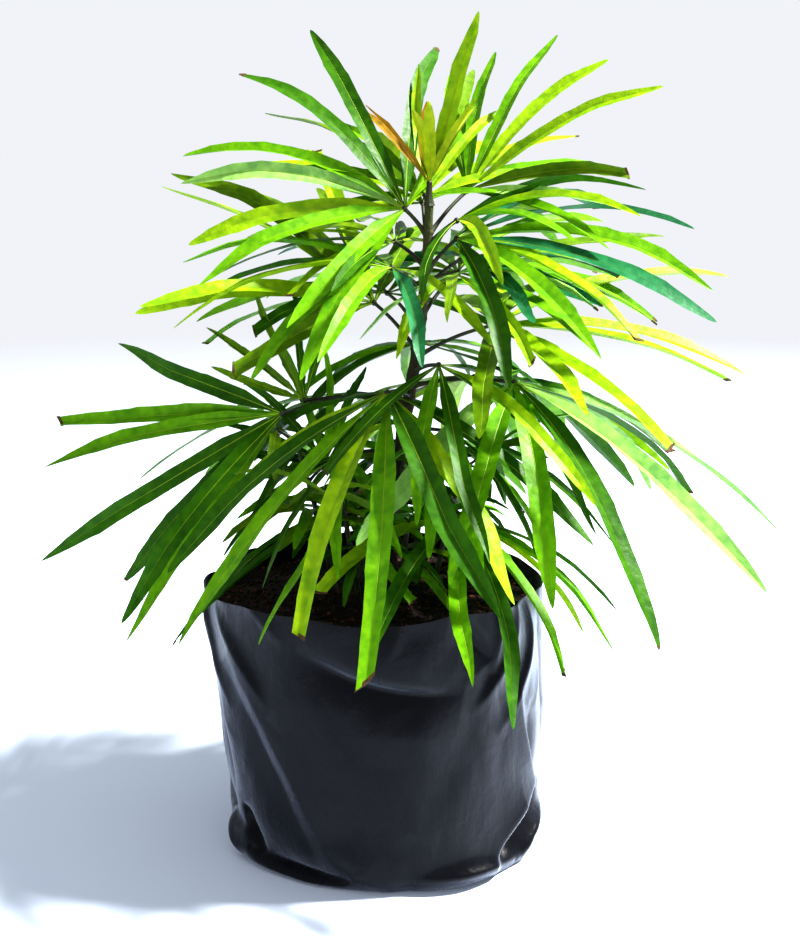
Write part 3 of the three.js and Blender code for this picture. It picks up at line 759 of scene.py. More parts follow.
def loose_creases():
    """Short shallow creases, scattered by a seeded rule, most of them slanting."""
    rng = np.random.default_rng(LOOSE_CREASES["seed"])

    def drawn(name):
        return rng.uniform(*LOOSE_CREASES[name])

    rows = []
    for _ in range(LOOSE_CREASES["count"]):
        azimuth, level = rng.uniform(0, 360), drawn("level")
        slant = math.radians(rng.choice((-1, 1)) * drawn("slant"))
        length, width = drawn("length"), drawn("width")
        height = rng.choice((-1, 1)) * drawn("height")
        to_azimuth = azimuth + math.degrees(length * math.cos(slant) / BAG_RIM_RADIUS)
        to_level = level + length * math.sin(slant) / BAG_HEIGHT
        rows.append((azimuth, level, to_azimuth, to_level, drawn("bow"), height,
                     width, width * drawn("spread")))
    return rows


def film_radius(azimuth, level):
    """The wall's radius: the plain shape of the solids, with creases, ripples and a slack
    rim. Corners grow up the wall as level^3, and the foot's lobes down it as (1 - level)^5."""
    plain = lerp(BAG_BASE_RADIUS, BAG_RIM_RADIUS, level) + BAG_BELLY * np.sin(np.pi * level)
    corners = bumps_round(azimuth, **MOUTH_CORNERS) * np.clip(level, 0, None) ** 3
    lobes = bumps_round(azimuth, **FOOT_LOBES) * (1 - level) ** 5
    swing = np.sin(np.radians(FILM_WAVES["count"] * azimuth) + FILM_WAVES["climb"] * level)
    waves = FILM_WAVES["depth"] * swing * np.sin(np.pi * level)
    rounding = BASE_ROUNDING * np.maximum(0, 1 - level / BASE_ROUNDING_SHARE) ** 2
    a = np.radians(azimuth)
    unrolled = np.stack([np.cos(a) * plain, np.sin(a) * plain, level * BAG_HEIGHT], axis=-1)
    ripples = relief(unrolled, *FILM_RIPPLES)
    ripples = ripples + relief(unrolled * FILM_CRUMPLE_STRETCH, *FILM_CRUMPLE)
    creases = sum(
        crease_relief(azimuth, level, dict(zip(CREASE_FIELDS, row)))
        for row in (*CREASES, *loose_creases())
    )
    rim = sum(push * bump(bearing(azimuth, at), width) for at, _, width, push in RIM_FOLDS)
    wrinkles = lattice_noise(unrolled / RIM_WRINKLES["size"], RIM_WRINKLES["seed"])
    slack = smooth_step(RIM_SLACK_FROM, 1.0, level) * (rim + RIM_WRINKLES["height"] * wrinkles)
    return plain + corners + lobes + waves - rounding + ripples + creases + slack


def wall_points(azimuth, level, inset):
    """Points of the wall on a grid of azimuths and levels, drawn in by an inset. The bag
    leans, so its centre moves along x as the level rises."""
    radius = film_radius(azimuth, level) - inset
    a = np.radians(azimuth)
    x = BAG_LEAN * level + radius * np.cos(a)
    return np.stack([x, radius * np.sin(a), level * rim_height(azimuth)], axis=-1)


def film_rings(bag):
    """Up the outside, over the rim and down the inside to the floor. Below the soil's top the
    inside is drawn in, clear of every crease."""
    film = bag.film / MM
    foot = np.linspace(0, FOOT_TOP, FOOT_ROWS)
    outside = np.concatenate([foot, np.linspace(FOOT_TOP, 1, WALL_ROWS)[1:]])
    inside = np.linspace(1, INSIDE_LOWEST, INSIDE_ROWS)
    buried = [*BURIED_LEVELS, 0]
    levels = np.concatenate([outside, [1], inside, buried])
    insets = np.repeat([0, film / 2, film, film + BURIED_INSET],
                       [len(outside), 1, len(inside), len(buried)])
    azimuth, level = np.meshgrid(np.arange(bag.columns) * 360 / bag.columns, levels)
    rings = wall_points(azimuth, level, insets[:, None])
    rings[len(outside), :, 2] += film / 4
    rings[-1, :, 2] = film
    return rings[None]


# --- Soil ---------------------------------------------------------------------------------


def soil_top(share, azimuth, inset):
    """A point of the soil's top: the edge ring drawn in by a share, level in the middle and
    rising or falling to the edge, with crumbly relief and a low mound round the stem."""
    edge = wall_points(azimuth, np.full_like(azimuth, SOIL_TOP_ROW), inset)
    x, y = edge[..., 0] * share, edge[..., 1] * share
    z = lerp(SOIL_LEVEL, edge[..., 2], smooth_step(SOIL_FLAT_SHARE, 1.0, share))
    flat = np.stack([x, y, np.zeros_like(x)], axis=-1)
    lumps = relief(flat, *SOIL_LUMPS) + np.abs(relief(flat, *SOIL_GRAIN))
    lumps = lumps * (1 - SOIL_EDGE_CALM * share**SOIL_CALM_POWER)
    mound = SOIL_MOUND["height"] * bump(np.hypot(x - TRUNK_FOOT_X, y), SOIL_MOUND["radius"])
    return np.stack([x, y, z + lumps + mound], axis=-1)


def soil_rings(columns, rows, inset):
    """Up the wall from the floor, then in over the top to the middle."""
    azimuths = np.arange(columns) * 360 / columns
    azimuth, level = np.meshgrid(azimuths, [0, *SOIL_WALL_LEVELS])
    wall = wall_points(azimuth, level, inset + SOIL_SLACK)
    wall[0, :, 2] = SOIL_UNDERSIDE
    azimuth, share = np.meshgrid(azimuths, np.linspace(1, SOIL_MIDDLE_SHARE, rows))
    return np.concatenate([wall, soil_top(share, azimuth, inset)])[None]


def icosahedron():
    """The corners of an icosahedron of radius 1, and its faces, which point outwards: every
    three corners that are each other's neighbours."""
    golden = (1 + 5**0.5) / 2
    corners = np.array([
        (-1, golden, 0), (1, golden, 0), (-1, -golden, 0), (1, -golden, 0),
        (0, -1, golden), (0, 1, golden), (0, -1, -golden), (0, 1, -golden),
        (golden, 0, -1), (golden, 0, 1), (-golden, 0, -1), (-golden, 0, 1),
    ]) / math.hypot(1, golden)
    apart = np.linalg.norm(corners[:, None] - corners[None], axis=-1)
    near = np.isclose(apart, np.min(apart[apart > 0]))
    faces = [
        f for f in itertools.combinations(range(len(corners)), 3)
        if all(near[a, b] for a, b in itertools.combinations(f, 2))
    ]
    outward = [f if np.linalg.det(corners[list(f)]) > 0 else f[::-1] for f in faces]
    return corners, np.array(outward)


def crumbs(count, size, flatness, seed, inset):
    """Jittered icosahedra that lie on the soil, turned and squashed at random."""
    rng = np.random.default_rng(seed)
    corners, faces = icosahedron()
    share = np.sqrt(rng.uniform(0.0, CRUMB_SPREAD, count))
    foot = soil_top(share, rng.uniform(0, 360, count), inset)
    radius = (rng.uniform(*size, count) * rng.uniform(*CRUMB_SIZES, count))[:, None, None]
    stretch = np.stack([rng.uniform(*CRUMB_LENGTHS, count), rng.uniform(*CRUMB_BREADTHS, count),
                        np.full(count, flatness)], axis=-1)
    jitter = rng.uniform(*CRUMB_JITTER, (count, len(corners), 1))
    axis = unit(rng.normal(size=(count, 1, 3)) + CRUMB_UPRIGHT * UP)
    shape = turned(corners * jitter * stretch[:, None], axis, rng.uniform(0, 360, (count, 1)))
    points = foot[:, None] + (shape + UP * CRUMB_LIFT) * radius
    all_faces = faces + len(corners) * np.arange(count)[:, None, None]
    return points.reshape(-1, 3), [all_faces.reshape(-1, 3)]


# --- Trunk --------------------------------------------------------------------------------


def trunk_centre(height):
    """The leader's centre line: along x it leans in proportion to its height, less a whole
    sine of sway, and along y it bows as half a sine."""
    k = (np.asarray(height, dtype=float) - SOIL_LEVEL) / TRUNK_HEIGHT
    x = TRUNK_FOOT_X + TRUNK_LEAN * k - TRUNK_SWAY * np.sin(2 * np.pi * k)
    return np.stack([x, TRUNK_BOW * np.sin(np.pi * k), k * TRUNK_HEIGHT + SOIL_LEVEL], axis=-1)


def trunk_radius(height):
    """The straight taper times 1 + a raised cosine that peaks at each leaf scar + a flare at
    the roots that falls off as an exponential of the height."""
    above = height - SOIL_LEVEL
    scar = 0.5 + 0.5 * np.cos(2 * np.pi * above / LEAF_SCAR_PITCH)
    flare = ROOT_FLARE * np.exp(-above / ROOT_FLARE_HEIGHT)
    taper = lerp(TRUNK_FOOT_RADIUS, TRUNK_TOP_RADIUS, above / TRUNK_HEIGHT)
    return taper * (1 + LEAF_SCAR_SWELL * scar + flare)


def trunk_rings(columns, rows):
    """The trunk's rings with the bark's relief: a lip at each leaf scar, which spirals up,
    upright furrows, small warts, and roots that spread from the foot."""
    height = np.linspace(SOIL_LEVEL - 1, TRUNK_TOP + GAP, rows)[:, None]
    azimuth = (np.arange(columns) * 360 / columns)[None]
    above = height - SOIL_LEVEL
    scar = np.round(above / LEAF_SCAR_PITCH)
    off = above - scar * LEAF_SCAR_PITCH
    side = bump(bearing(azimuth, scar * GOLDEN_ANGLE), SCAR_SIDE_WIDTH)
    lips = sum(rise * bump(off - at, width) for rise, at, width in SCAR_LIPS)
    ring_rise, ring_at, ring_width = SCAR_RING
    lip = lips * side + ring_rise * bump(off - ring_at, ring_width)
    a = np.radians(azimuth)
    around = np.stack([np.cos(a), np.sin(a), 0 * a], axis=-1)
    grain = BARK_GRAIN_RADIUS * around + UP * BARK_GRAIN_STRETCH * height[..., None]
    furrow = np.abs(relief(grain, *BARK_FURROWS))
    wart_height, *wart_noise = BARK_WARTS
    warts = np.maximum(0, fractal(grain * WART_STRETCH, *wart_noise) - WART_THRESHOLD)
    spread = np.sin(np.radians(ROOTS["count"] * azimuth + ROOTS["start"]))
    roots = 1 + ROOTS["swell"] * spread * np.exp(-above / ROOTS["height"])
    smoothing = 1 - BARK_SMOOTHING * above / TRUNK_HEIGHT
    bark = (lip - furrow + wart_height * warts + BARK_PROUD) * smoothing
    radius = trunk_radius(height) * roots + bark
    return (trunk_centre(height) + radius[..., None] * around)[None]


# --- Leaflets, by the rule of the solids ---------------------------------------------------


def leaflet_path(leaf):
    """Points along a leaflet that sets out one way and droops more and more: each step goes
    along heading - up * droop * k^1.2."""
    k = (np.arange(LEAFLET_STEPS) + 0.5) / LEAFLET_STEPS
    ways = unit(leaf["heading"] - UP * (leaf["droop"] * k**DROOP_POWER)[:, None])
    steps = np.cumsum(ways * leaf["length"] / LEAFLET_STEPS, axis=0)
    return np.concatenate([leaf["root"][None], leaf["root"] + steps]), ways


def width_share(k, cut, tip_power=TIP_POWER):
    """The share of full width at k: the least of 1, a root that widens as k^1.3 and a tip
    that narrows as (1 - k) to the tip's power, the blunter the lower the power. A leaflet
    that is cut off keeps its width to the end."""
    widening = ROOT_SHARE + (1 - ROOT_SHARE) * (k / FULL_WIDTH_FROM) ** WIDENING_POWER
    taper = (np.clip(1 - k, 0, 1) / TAPER_LENGTH) ** tip_power
    return np.minimum(1, np.minimum(widening, np.where(cut, 1, taper)))


def end_corner(leaf):
    """A corner of the solid leaflet's end: its tip, or the side of its cut end."""
    points, ways = leaflet_path(leaf)
    if not leaf["cut"]:
        return points[LEAFLET_STEPS]
    ahead = ways[CUT_STATION - 1]
    across = unit(np.cross(leaf["normal"], ahead))
    across = turned(across, ahead, np.array(leaf["twist"] * CUT_END))
    half = leaf["width"] * width_share(CUT_END, True) / 2
    above = np.cross(ahead, across)
    return points[CUT_STATION] + across * half + above * LEAFLET_FOLD * half


def fan_leaflet(fan, index, attempt):
    """One try at a leaflet of a fan, with the draws in the order of the solids. Its heading
    is the fan's middle, turned by its share of the spread and raised by the cup:
    (middle cos turn + side sin turn) cos cup + normal sin cup."""
    random = random_from(fan["seed"] + SEEDS["leaflet"] * index + attempt)
    scatter = 1 + SCATTER_GROWTH * attempt
    middle = vector(fan["azimuth"] + fan["turn"], fan["pitch"])
    side = unit(np.cross(UP, middle))
    normal = np.cross(middle, side)
    side, normal = (turned(v, middle, np.array(float(fan["roll"]))) for v in (side, normal))
    even = (index - (fan["count"] - 1) / 2) * (fan["spread"] / (fan["count"] - 1))
    turn = even + (random() - 0.5) * SCATTER["turn"] * scatter
    cup = fan["cup"] + (random() - 0.5) * SCATTER["cup"] * scatter
    share = lerp(SIDE_LEAFLET_SHARE, 1, math.cos(math.radians(SIDE_LEAFLET_FALL * turn)) ** 2)
    length = fan["length"] * share * lerp(*SCATTER["length"], random())
    droop = fan["droop"] * lerp(*SCATTER["droop"], random())
    twist = (random() - 0.5) * SCATTER["twist"]
    cut = random() < CUT_SHARE
    t, c = math.radians(turn), math.radians(cup)
    heading = (middle * math.cos(t) + side * math.sin(t)) * math.cos(c) + normal * math.sin(c)
    return {"root": fan["hub"] + heading * ROOT_START * fan["hub_radius"], "heading": heading,
            "normal": normal, "length": length, "droop": droop, "twist": twist, "cut": cut,
            "width": fan["width"]}


def tip_leaflet(index, attempt):
    """One try at a young leaf of the growing tip, on a spiral that steepens as it goes up."""
    random = random_from(SEEDS["tip"] + SEEDS["leaflet"] * index + attempt)
    k = index / (TIP_LEAVES - 1)
    first = index == 0
    azimuth = GOLDEN_ANGLE * index + (random() - 0.5) * TIP_SCATTER["azimuth"] * (1 + attempt)
    steepening = lerp(TIP_RISE["lowest"], TIP_RISE["highest"], k)
    rise = TIP_TALLEST_RISE if first else steepening + (random() - 0.5) * TIP_RISE["scatter"]
    length = lerp(TIP_LONGEST, TIP_SHORTEST, k) * lerp(*TIP_SCATTER["length"], random())
    twist = (random() - 0.5) * TIP_SCATTER["twist"]
    heading = vector(azimuth, rise)
    return {"root": tip_hub() + heading * ROOT_START * HUB_RADIUS, "heading": heading,
            "normal": vector(azimuth - 90, 0) if first else vector(azimuth + 180, 90 - rise),
            "length": TIP_TALLEST if first else length,
            "droop": TIP_TALLEST_DROOP if first else TIP_DROOP, "twist": twist, "cut": False,
            "width": TIP_TALLEST_WIDTH if first else TIP_LEAF_WIDTH}


def tip_hub():
    return trunk_centre(TRUNK_TOP) + UP * TIP_STEM


def fan_from(fields, row, seed):
    """A fan with its stalk's foot and hub, its leaflets' width and its seed."""
    fan = dict(zip(fields, row))
    fan["tints"] = fan["tints"].split()
    fan["node"] = f"fan_{fan.get('near', fan['name'])}"
    fan["foot"] = trunk_centre(SOIL_LEVEL + fan["at"])
    fan["hub"] = fan["foot"] + vector(fan["azimuth"], fan["rise"]) * fan["stalk"]
    fan["hub_radius"] = HUB_RADIUS
    fan["width"] = fan["length"] / LEAFLET_SLENDERNESS
    fan["seed"] = seed
    return fan


def fans():
    return [fan_from(FAN_FIELDS, row, SEEDS["fan"] * (i + 1)) for i, row in enumerate(FAN_ROWS)]


def inner_fans():
    seeds = (SEEDS["inner"] + SEEDS["fan"] * i for i in range(len(INNER_ROWS)))
    return [fan_from(INNER_FIELDS, row, seed) for row, seed in zip(INNER_ROWS, seeds)]


def shoots():
    """Each shoot with its foot, its top and the small fans up it."""
    made = []
    for index, row in enumerate(SHOOT_ROWS):
        shoot = dict(zip(SHOOT_FIELDS, row))
        away = vector(shoot["azimuth"], 0)
        foot = np.array((TRUNK_FOOT_X, 0, SOIL_LEVEL + GAP)) + away * shoot["distance"]
        top = foot + away * shoot["lean"]
        top[2] = SOIL_LEVEL + shoot["height"]
        shoot["foot"], shoot["top"], shoot["fans"] = foot, top, []
        for fan_index, level in enumerate(SHOOT_LEVELS):
            azimuth = shoot["azimuth"] + GOLDEN_ANGLE * (fan_index - len(SHOOT_LEVELS) + 1)
            start = lerp(foot, top, level)
            shoot["fans"].append({
                **SHOOT_FAN,
                "node": shoot["name"],
                "tints": SHOOT_TINTS,
                "azimuth": azimuth,
                "pitch": SHOOT_PITCH + SHOOT_PITCH_STEP * fan_index,
                "length": shoot["length"],
                "hub_radius": SHOOT_HUB_RADIUS,
                "width": SHOOT_LEAFLET_WIDTH,
                "foot": start,
                "hub": start + vector(azimuth, SHOOT_STALK_RISE) * SHOOT_STALK,
                "seed": SEEDS["shoots"] + SEEDS["fan"] * index + SEEDS["shoot_fan"] * fan_index,
            })
        made.append(shoot)
    return made


def kept_leaflets(node, count, make_leaflet):
    """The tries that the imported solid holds: those whose end lies on one of its corners. A
    leaflet that the solid had no room for is left out here too."""
    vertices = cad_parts[node].data.vertices
    corners = np.empty(3 * len(vertices), np.float32)
    vertices.foreach_get("co", corners)
    corners = corners.reshape(-1, 3) / MM

    def held(leaf):
        return np.min(np.linalg.norm(corners - end_corner(leaf), axis=1)) < CORNER_MATCH

    kept = []
    for index in range(count):
        tries = (make_leaflet(index, attempt) for attempt in range(ATTEMPTS))
        leaf = next(filter(held, tries), None)
        if leaf:
            kept.append({**leaf, "node": node, "index": index})
    if len(kept) < count / 2:
        raise ValueError(f"only {len(kept)} of {count} leaflets of {node} match its solid")
    return kept


def matched_spray(fan):
    """The leaflets of a fan that its solid holds."""
    kept = kept_leaflets(fan["node"], fan["count"], partial(fan_leaflet, fan))
    return dressed(kept, fan["tints"], fan["seed"])


def free_spray(fan):
    """The leaflets of a fan with no solid of its own, each at its first try."""
    grown = [{**fan_leaflet(fan, i, 0), "node": fan["node"]} for i in range(fan["count"])]
    return dressed(grown, fan["tints"], fan["seed"])


def dressed(leaves, tints, seed):
    """Gives each leaflet of a spray one of its tints, how blunt its tip is, and its own bends:
    how far it swings sideways, how its tip curls and hooks, and how deep it is folded."""
    rng, tips = np.random.default_rng(seed), np.random.default_rng(seed + 1)
    for leaf in leaves:
        # A tint covers the whole leaflet; all tints but fresh, young and bronze are painted
        # sunlight, highlight, sky reflection and shade.
        leaf["tint"] = tints[rng.integers(len(tints))]
        leaf["tip_power"] = tips.uniform(*TIP_POWERS)
        leaf["slant"] = tips.choice((-1, 1)) * tips.uniform(*CUT_SLANT)
        leaf["swing"] = rng.uniform(*BLADE_BENDS["swing"]) * leaf["length"]
        leaf["curl"] = rng.uniform(*BLADE_BENDS["curl"]) * leaf["length"]
        leaf["hook"] = rng.uniform(*BLADE_BENDS["hook"]) * leaf["length"]
        leaf["fold"] = rng.uniform(*BLADE_BENDS["fold"])
    return leaves


# --- Leaflets in full detail ---------------------------------------------------------------


def column(leaves, key):
    return np.array([leaf[key] for leaf in leaves])


def blade_share(leaves, k):
    """The share of full width of each blade at k. One that is cut off narrows a little."""
    cut = column(leaves, "cut")[:, None]
    narrowed = 1 - (1 - CUT_NARROWING) * smooth_step(CUT_NARROWS_FROM, CUT_END, k)
    return width_share(k, cut, column(leaves, "tip_power")[:, None]) * np.where(cut, narrowed, 1)


def cut_slant(leaves, k):
    """How far a cut end slants: the way across leans ahead or back over the last stretch."""
    slant = np.where(column(leaves, "cut"), column(leaves, "slant"), 0)[:, None]
    return slant * smooth_step(CUT_END - CUT_SLANT_REACH, CUT_END, k)


def blade_frames(leaves, k):
    """The midrib's point at k along each leaflet, and the ways across and above there. The
    path of the solids swings sideways as a half sine, and its end hooks and curls."""
    along = k * LEAFLET_STEPS
    low = np.minimum(along.astype(int), LEAFLET_STEPS - 1)
    part = (along - low)[..., None]
    paths = np.array([leaflet_path(leaf)[0] for leaf in leaves])
    rows = np.arange(len(leaves))[:, None]
    points = lerp(paths[rows, low], paths[rows, low + 1], part)
    droop = column(leaves, "droop")[:, None] * k**DROOP_POWER
    ahead = unit(column(leaves, "heading")[:, None] - UP * droop[..., None])
    across = unit(np.cross(column(leaves, "normal")[:, None], ahead))
    across = turned(across, ahead, column(leaves, "twist")[:, None] * k)
    above = np.cross(ahead, across)
    across = across + ahead * cut_slant(leaves, k)[..., None]
    swing = column(leaves, "swing")[:, None] * np.sin(np.pi * k)
    swing = swing + column(leaves, "hook")[:, None] * smooth_step(HOOK_FROM, 1.0, k)
    curl = column(leaves, "curl")[:, None] * smooth_step(CURL_FROM, 1.0, k)
    points = points + across * swing[..., None] + above * curl[..., None]
    return points, across, above


def blade_stations(leaves, teeth, rng):
    """Where the rings of each blade lie, from root to tip: a few at the root, then the point
    and the notch of each tooth, then the tip."""
    pitch = (TOOTH_TO - TOOTH_FROM) / teeth
    scatter = rng.uniform(-TOOTH_SCATTER, TOOTH_SCATTER, (len(leaves), teeth))
    points = TOOTH_FROM + pitch * (np.arange(teeth) + 0.5 + scatter)
    pairs = np.stack([points, points + TOOTH_NOTCH * pitch], axis=-1).reshape(len(leaves), -1)
    leads = np.tile(BLADE_LEADS, (len(leaves), 1))
    ends = np.tile(BLADE_ENDS, (len(leaves), 1))
    end = np.where(column(leaves, "cut"), CUT_END, 1.0)[:, None]
    return np.concatenate([leads, pairs, ends], axis=1) * end


def blade_section(points, across, above, right, left, fold, thick, growth=0.0):
    """Rings of four points: the right edge, the midrib's groove, the left edge and the
    underside. An edge rises by the fold times its distance from the midrib, plus its wave.
    Growth moves every point outwards."""
    edges = []
    for (half, wave), way in ((right, 1), (left, -1)):
        out = (way * (half + 2 * growth))[..., None]
        edges.append(points + across * out + above * (fold * half + wave)[..., None])
    groove = points + above * (GROOVE_HEIGHT + growth)
    under = points - above * (thick + 2 * growth)[..., None]
    return np.stack([edges[0], groove, edges[1], under], axis=2)


def blade_fold(leaves, leaf, k):
    """How much an edge rises for its distance from the midrib: less and less to the tip."""
    return leaf.fold * column(leaves, "fold")[:, None] * (1 - FOLD_FALL * k)


def blades(leaves, leaf, teeth, seed):
    """Blades and midribs. A blade's outline is the leaflet's width with small teeth that
    point ahead, large and small by turns, and its margin waves up and down. A midrib's ring
    is a flat triangle: two corners sunk in the blade and a ridge over the groove."""
    rng = np.random.default_rng(seed)
    count = len(leaves)
    k = blade_stations(leaves, teeth, rng)
    points, across, above = blade_frames(leaves, k)
    width = column(leaves, "width")[:, None]
    share = blade_share(leaves, k)
    half = np.maximum(width * share / 2, LEAST_HALF_WIDTH)
    fold = blade_fold(leaves, leaf, k)
    tooth_height = leaf.tooth / MM * np.minimum(share * TOOTH_GROWTH, 1)
    tooth_height = tooth_height * (half > TOOTHED_HALF_WIDTH)
    edges = []
    for side in (0, 1):
        size = rng.uniform(*TOOTH_SIZES, (count, teeth))
        size[:, side::2] *= SMALL_TOOTH
        tooth = np.zeros_like(k)
        tooth[:, len(BLADE_LEADS):-len(BLADE_ENDS):2] = size
        waves = rng.uniform(*MARGIN_WAVES, (count, 1))
        wave = np.sin(2 * np.pi * (waves * k + rng.uniform(0, 1, (count, 1))))
        wave_height = leaf.wave / MM * share * width / USUAL_WIDTH
        edges.append((half + tooth_height * (tooth - TOOTH_DEPTH), wave * wave_height))
    thick = leaf.thickness / MM * np.minimum(1, ROOT_THICKNESS + share)
    blade = blade_section(points, across, above, *edges, fold, thick)
    rib_width = leaf.rib / MM * np.sqrt(width / USUAL_WIDTH) * (RIB_END - k)
    rib_half = np.minimum(rib_width / 2, half * RIB_WIDEST)
    ridge_height = GROOVE_HEIGHT + fold * rib_half + RIDGE_HEIGHT * (RIDGE_END - k)
    ridge = blade[:, :, 1] + above * ridge_height[..., None]
    sunk, out = points - above * RIB_SINK, across * rib_half[..., None]
    rib = np.stack([sunk + out, ridge, sunk - out], axis=2)
    return blade, rib[:, :-2]


def end_scorch(leaves, leaf, share, seed):
    """Dry brown ends: short sleeves over the last stretch of every cut leaflet, and of a
    share of the whole ones."""
    rng = np.random.default_rng(seed)
    picked = [one for one in leaves if one["cut"] or rng.uniform() < share]
    cut = column(picked, "cut")
    end = np.where(cut, CUT_END, 1.0)[:, None]
    whole = rng.uniform(*SCORCH["whole"], len(picked))
    reach = np.where(cut, SCORCH["cut"], whole)[:, None]
    ahead = np.linspace(0, 1, SCORCH["rows"])
    k = np.minimum(end - reach * (1 - ahead) + SCORCH["past"] * ahead, 1.0)
    points, across, above = blade_frames(picked, k)
    width = column(picked, "width")[:, None] * blade_share(picked, k)
    ragged = 1 + rng.uniform(0, SCORCH["ragged"], k.shape)
    edge = (np.maximum(width / 2, SCORCH["least"]) * ragged, 0 * k)
    thick = np.full_like(k, leaf.thickness / MM)
    fold = blade_fold(picked, leaf, k)
    return blade_section(points, across, above, edge, edge, fold, thick, SCORCH["proud"])


def stalk_paths(feet, hubs, rings):
    """Stalks that arch a little from foot to hub: the line plus up * arch * length * sin."""
    k = np.linspace(0, 1, rings)[None, :, None]
    along = (hubs - feet)[:, None]
    length = np.linalg.norm(along, axis=-1, keepdims=True)
    arch = UP * STALK_ARCH * length * np.sin(np.pi * k)
    return feet[:, None] + along * k + arch, length[:, :, 0]


def stalks(group, radius, rings=16, sides=9):
    """Tapered stalks, each with a sheath at its foot and a swollen end: both swell as an
    exponential that falls with the distance from that end."""
    paths, length = stalk_paths(column(group, "foot"), column(group, "hub"), rings)
    k = np.linspace(0, 1, rings)[None]
    (sheath_swell, sheath_length), (end_swell, end_length) = STALK_SHEATH, STALK_SWELL
    sheath = 1 + sheath_swell * np.exp(-(k * length) / sheath_length)
    end = 1 + end_swell * np.exp(-((1 - k) * length) / end_length)
    return tubes(paths, radius * (1 - STALK_TAPER * k) * sheath * end, sides)


def knobs(group, hub_radius, sides=10, rows=9):
    """The knobs at the ends of the stalks, as a share of the solids' hubs: small globes,
    their poles drawn in to a point."""
    t = np.linspace(KNOB_POLE, np.pi - KNOB_POLE, rows)
    radius = KNOB_SHARE * hub_radius
    paths = column(group, "hub")[:, None] - UP * (radius * np.cos(t))[:, None]
    radii = np.tile(radius * np.sin(t), (len(group), 1))
    return tubes(paths, radii, sides)


# --- Settings -------------------------------------------------------------------------------


def colour_setting(name, description, default):
    return bpy.props.FloatVectorProperty(
        name=name, description=description, default=default, subtype="COLOR", size=3, min=0, max=1
    )


def length_setting(name, description, default):
    return bpy.props.FloatProperty(
        name=name, description=description, default=default, unit="LENGTH", min=0, precision=5
    )


class BagSettings(bpy.types.PropertyGroup):
    """The film grow bag."""

    film: length_setting("Film", "Thickness of the film", 0.0006)
    colour: colour_setting("Colour", "Colour of the film", (0.001, 0.001, 0.0017))
    roughness: bpy.props.FloatProperty(
        name="Roughness", description="Lowest roughness of the film", default=0.15, min=0, max=1
    )
    columns: bpy.props.IntProperty(
        name="Columns", description="Points round the wall", default=560, min=40
    )


class SoilSettings(bpy.types.PropertyGroup):
    """The potting soil and what lies on it."""

    colour: colour_setting("Colour", "Colour of the damp soil", (0.016, 0.0085, 0.005))
    chip_colour: colour_setting("Chips", "Colour of the bark chips", (0.17, 0.06, 0.026))
    crumbs: bpy.props.IntProperty(
        name="Crumbs", description="Loose crumbs on the soil", default=1500, min=1
    )
    chips: bpy.props.IntProperty(
        name="Chips", description="Bark chips among the crumbs", default=620, min=1
    )
    clearance: length_setting("Clearance", "Gap between the soil and the film", 0.0004)


class BarkSettings(bpy.types.PropertyGroup):
    """The trunk and the stalks."""

    colour: colour_setting("Colour", "Colour of the bark", (0.022, 0.014, 0.008))
    green: colour_setting("Green", "Colour of the young bark near the top", (0.05, 0.06, 0.012))
    lenticel: colour_setting("Lenticel", "Colour of the pale specks", (0.12, 0.09, 0.05))
    stalk: colour_setting("Stalk", "Green of the leaf stalks", (0.02, 0.036, 0.006))
    stalk_shade: colour_setting("Stalk shade", "Brown of the leaf stalks", (0.018, 0.011, 0.004))
    shoot: colour_setting("Shoot", "Green of the low shoots", (0.035, 0.07, 0.008))
    columns: bpy.props.IntProperty(
        name="Columns", description="Points round the trunk", default=64, min=12
    )
    rows: bpy.props.IntProperty(
        name="Rows", description="Points along the trunk", default=460, min=20
    )


class LeafSettings(bpy.types.PropertyGroup):
    """The leaflets."""

    thickness: length_setting("Thickness", "Thickness at the midrib", 0.00055)
    tooth: length_setting("Tooth", "Height of the teeth of the margin", 0.0006)
    wave: length_setting("Wave", "How far the margin waves up and down", 0.0005)
    rib: length_setting("Midrib", "Width of the midrib at the root", 0.0013)
    fold: bpy.props.FloatProperty(
        name="Fold", description="Rise of an edge per distance from the midrib", default=0.5, min=0
    )
    translucency: bpy.props.FloatProperty(
        name="Translucency", description="Share of light from behind", default=0.28, min=0, max=1
    )
    roughness: bpy.props.FloatProperty(
        name="Roughness", description="Lowest roughness of a leaf", default=0.3, min=0, max=1
    )
    # Lime, pale, teal, olive and deep are painted light: lime is painted sunlight, pale a painted
    # highlight, teal a painted sky reflection, and olive and deep painted shade. Fresh is the
    # leaf's own green.
    lime: colour_setting("Lime", "Sunlit yellow-green", (0.31, 0.54, 0.006))
    pale: colour_setting("Pale", "Pale leaves that catch the light", (0.29, 0.56, 0.11))
    fresh: colour_setting("Fresh", "Fresh mid green", (0.15, 0.41, 0.003))
    deep: colour_setting("Deep", "Deep green", (0.04, 0.16, 0.0015))
    teal: colour_setting("Teal", "Cool blue-green", (0.02, 0.19, 0.05))
    olive: colour_setting("Olive", "Shaded olive green", (0.12, 0.25, 0.002))
    young: colour_setting("Young", "Yellow-green of young leaves", (0.36, 0.47, 0.012))
    bronze: colour_setting("Bronze", "Bronze of the youngest leaves", (0.34, 0.2, 0.014))
    midrib: colour_setting("Midrib", "Pale midrib", (0.32, 0.48, 0.03))
    dry: colour_setting("Dry", "Dry brown ends", (0.1, 0.05, 0.014))


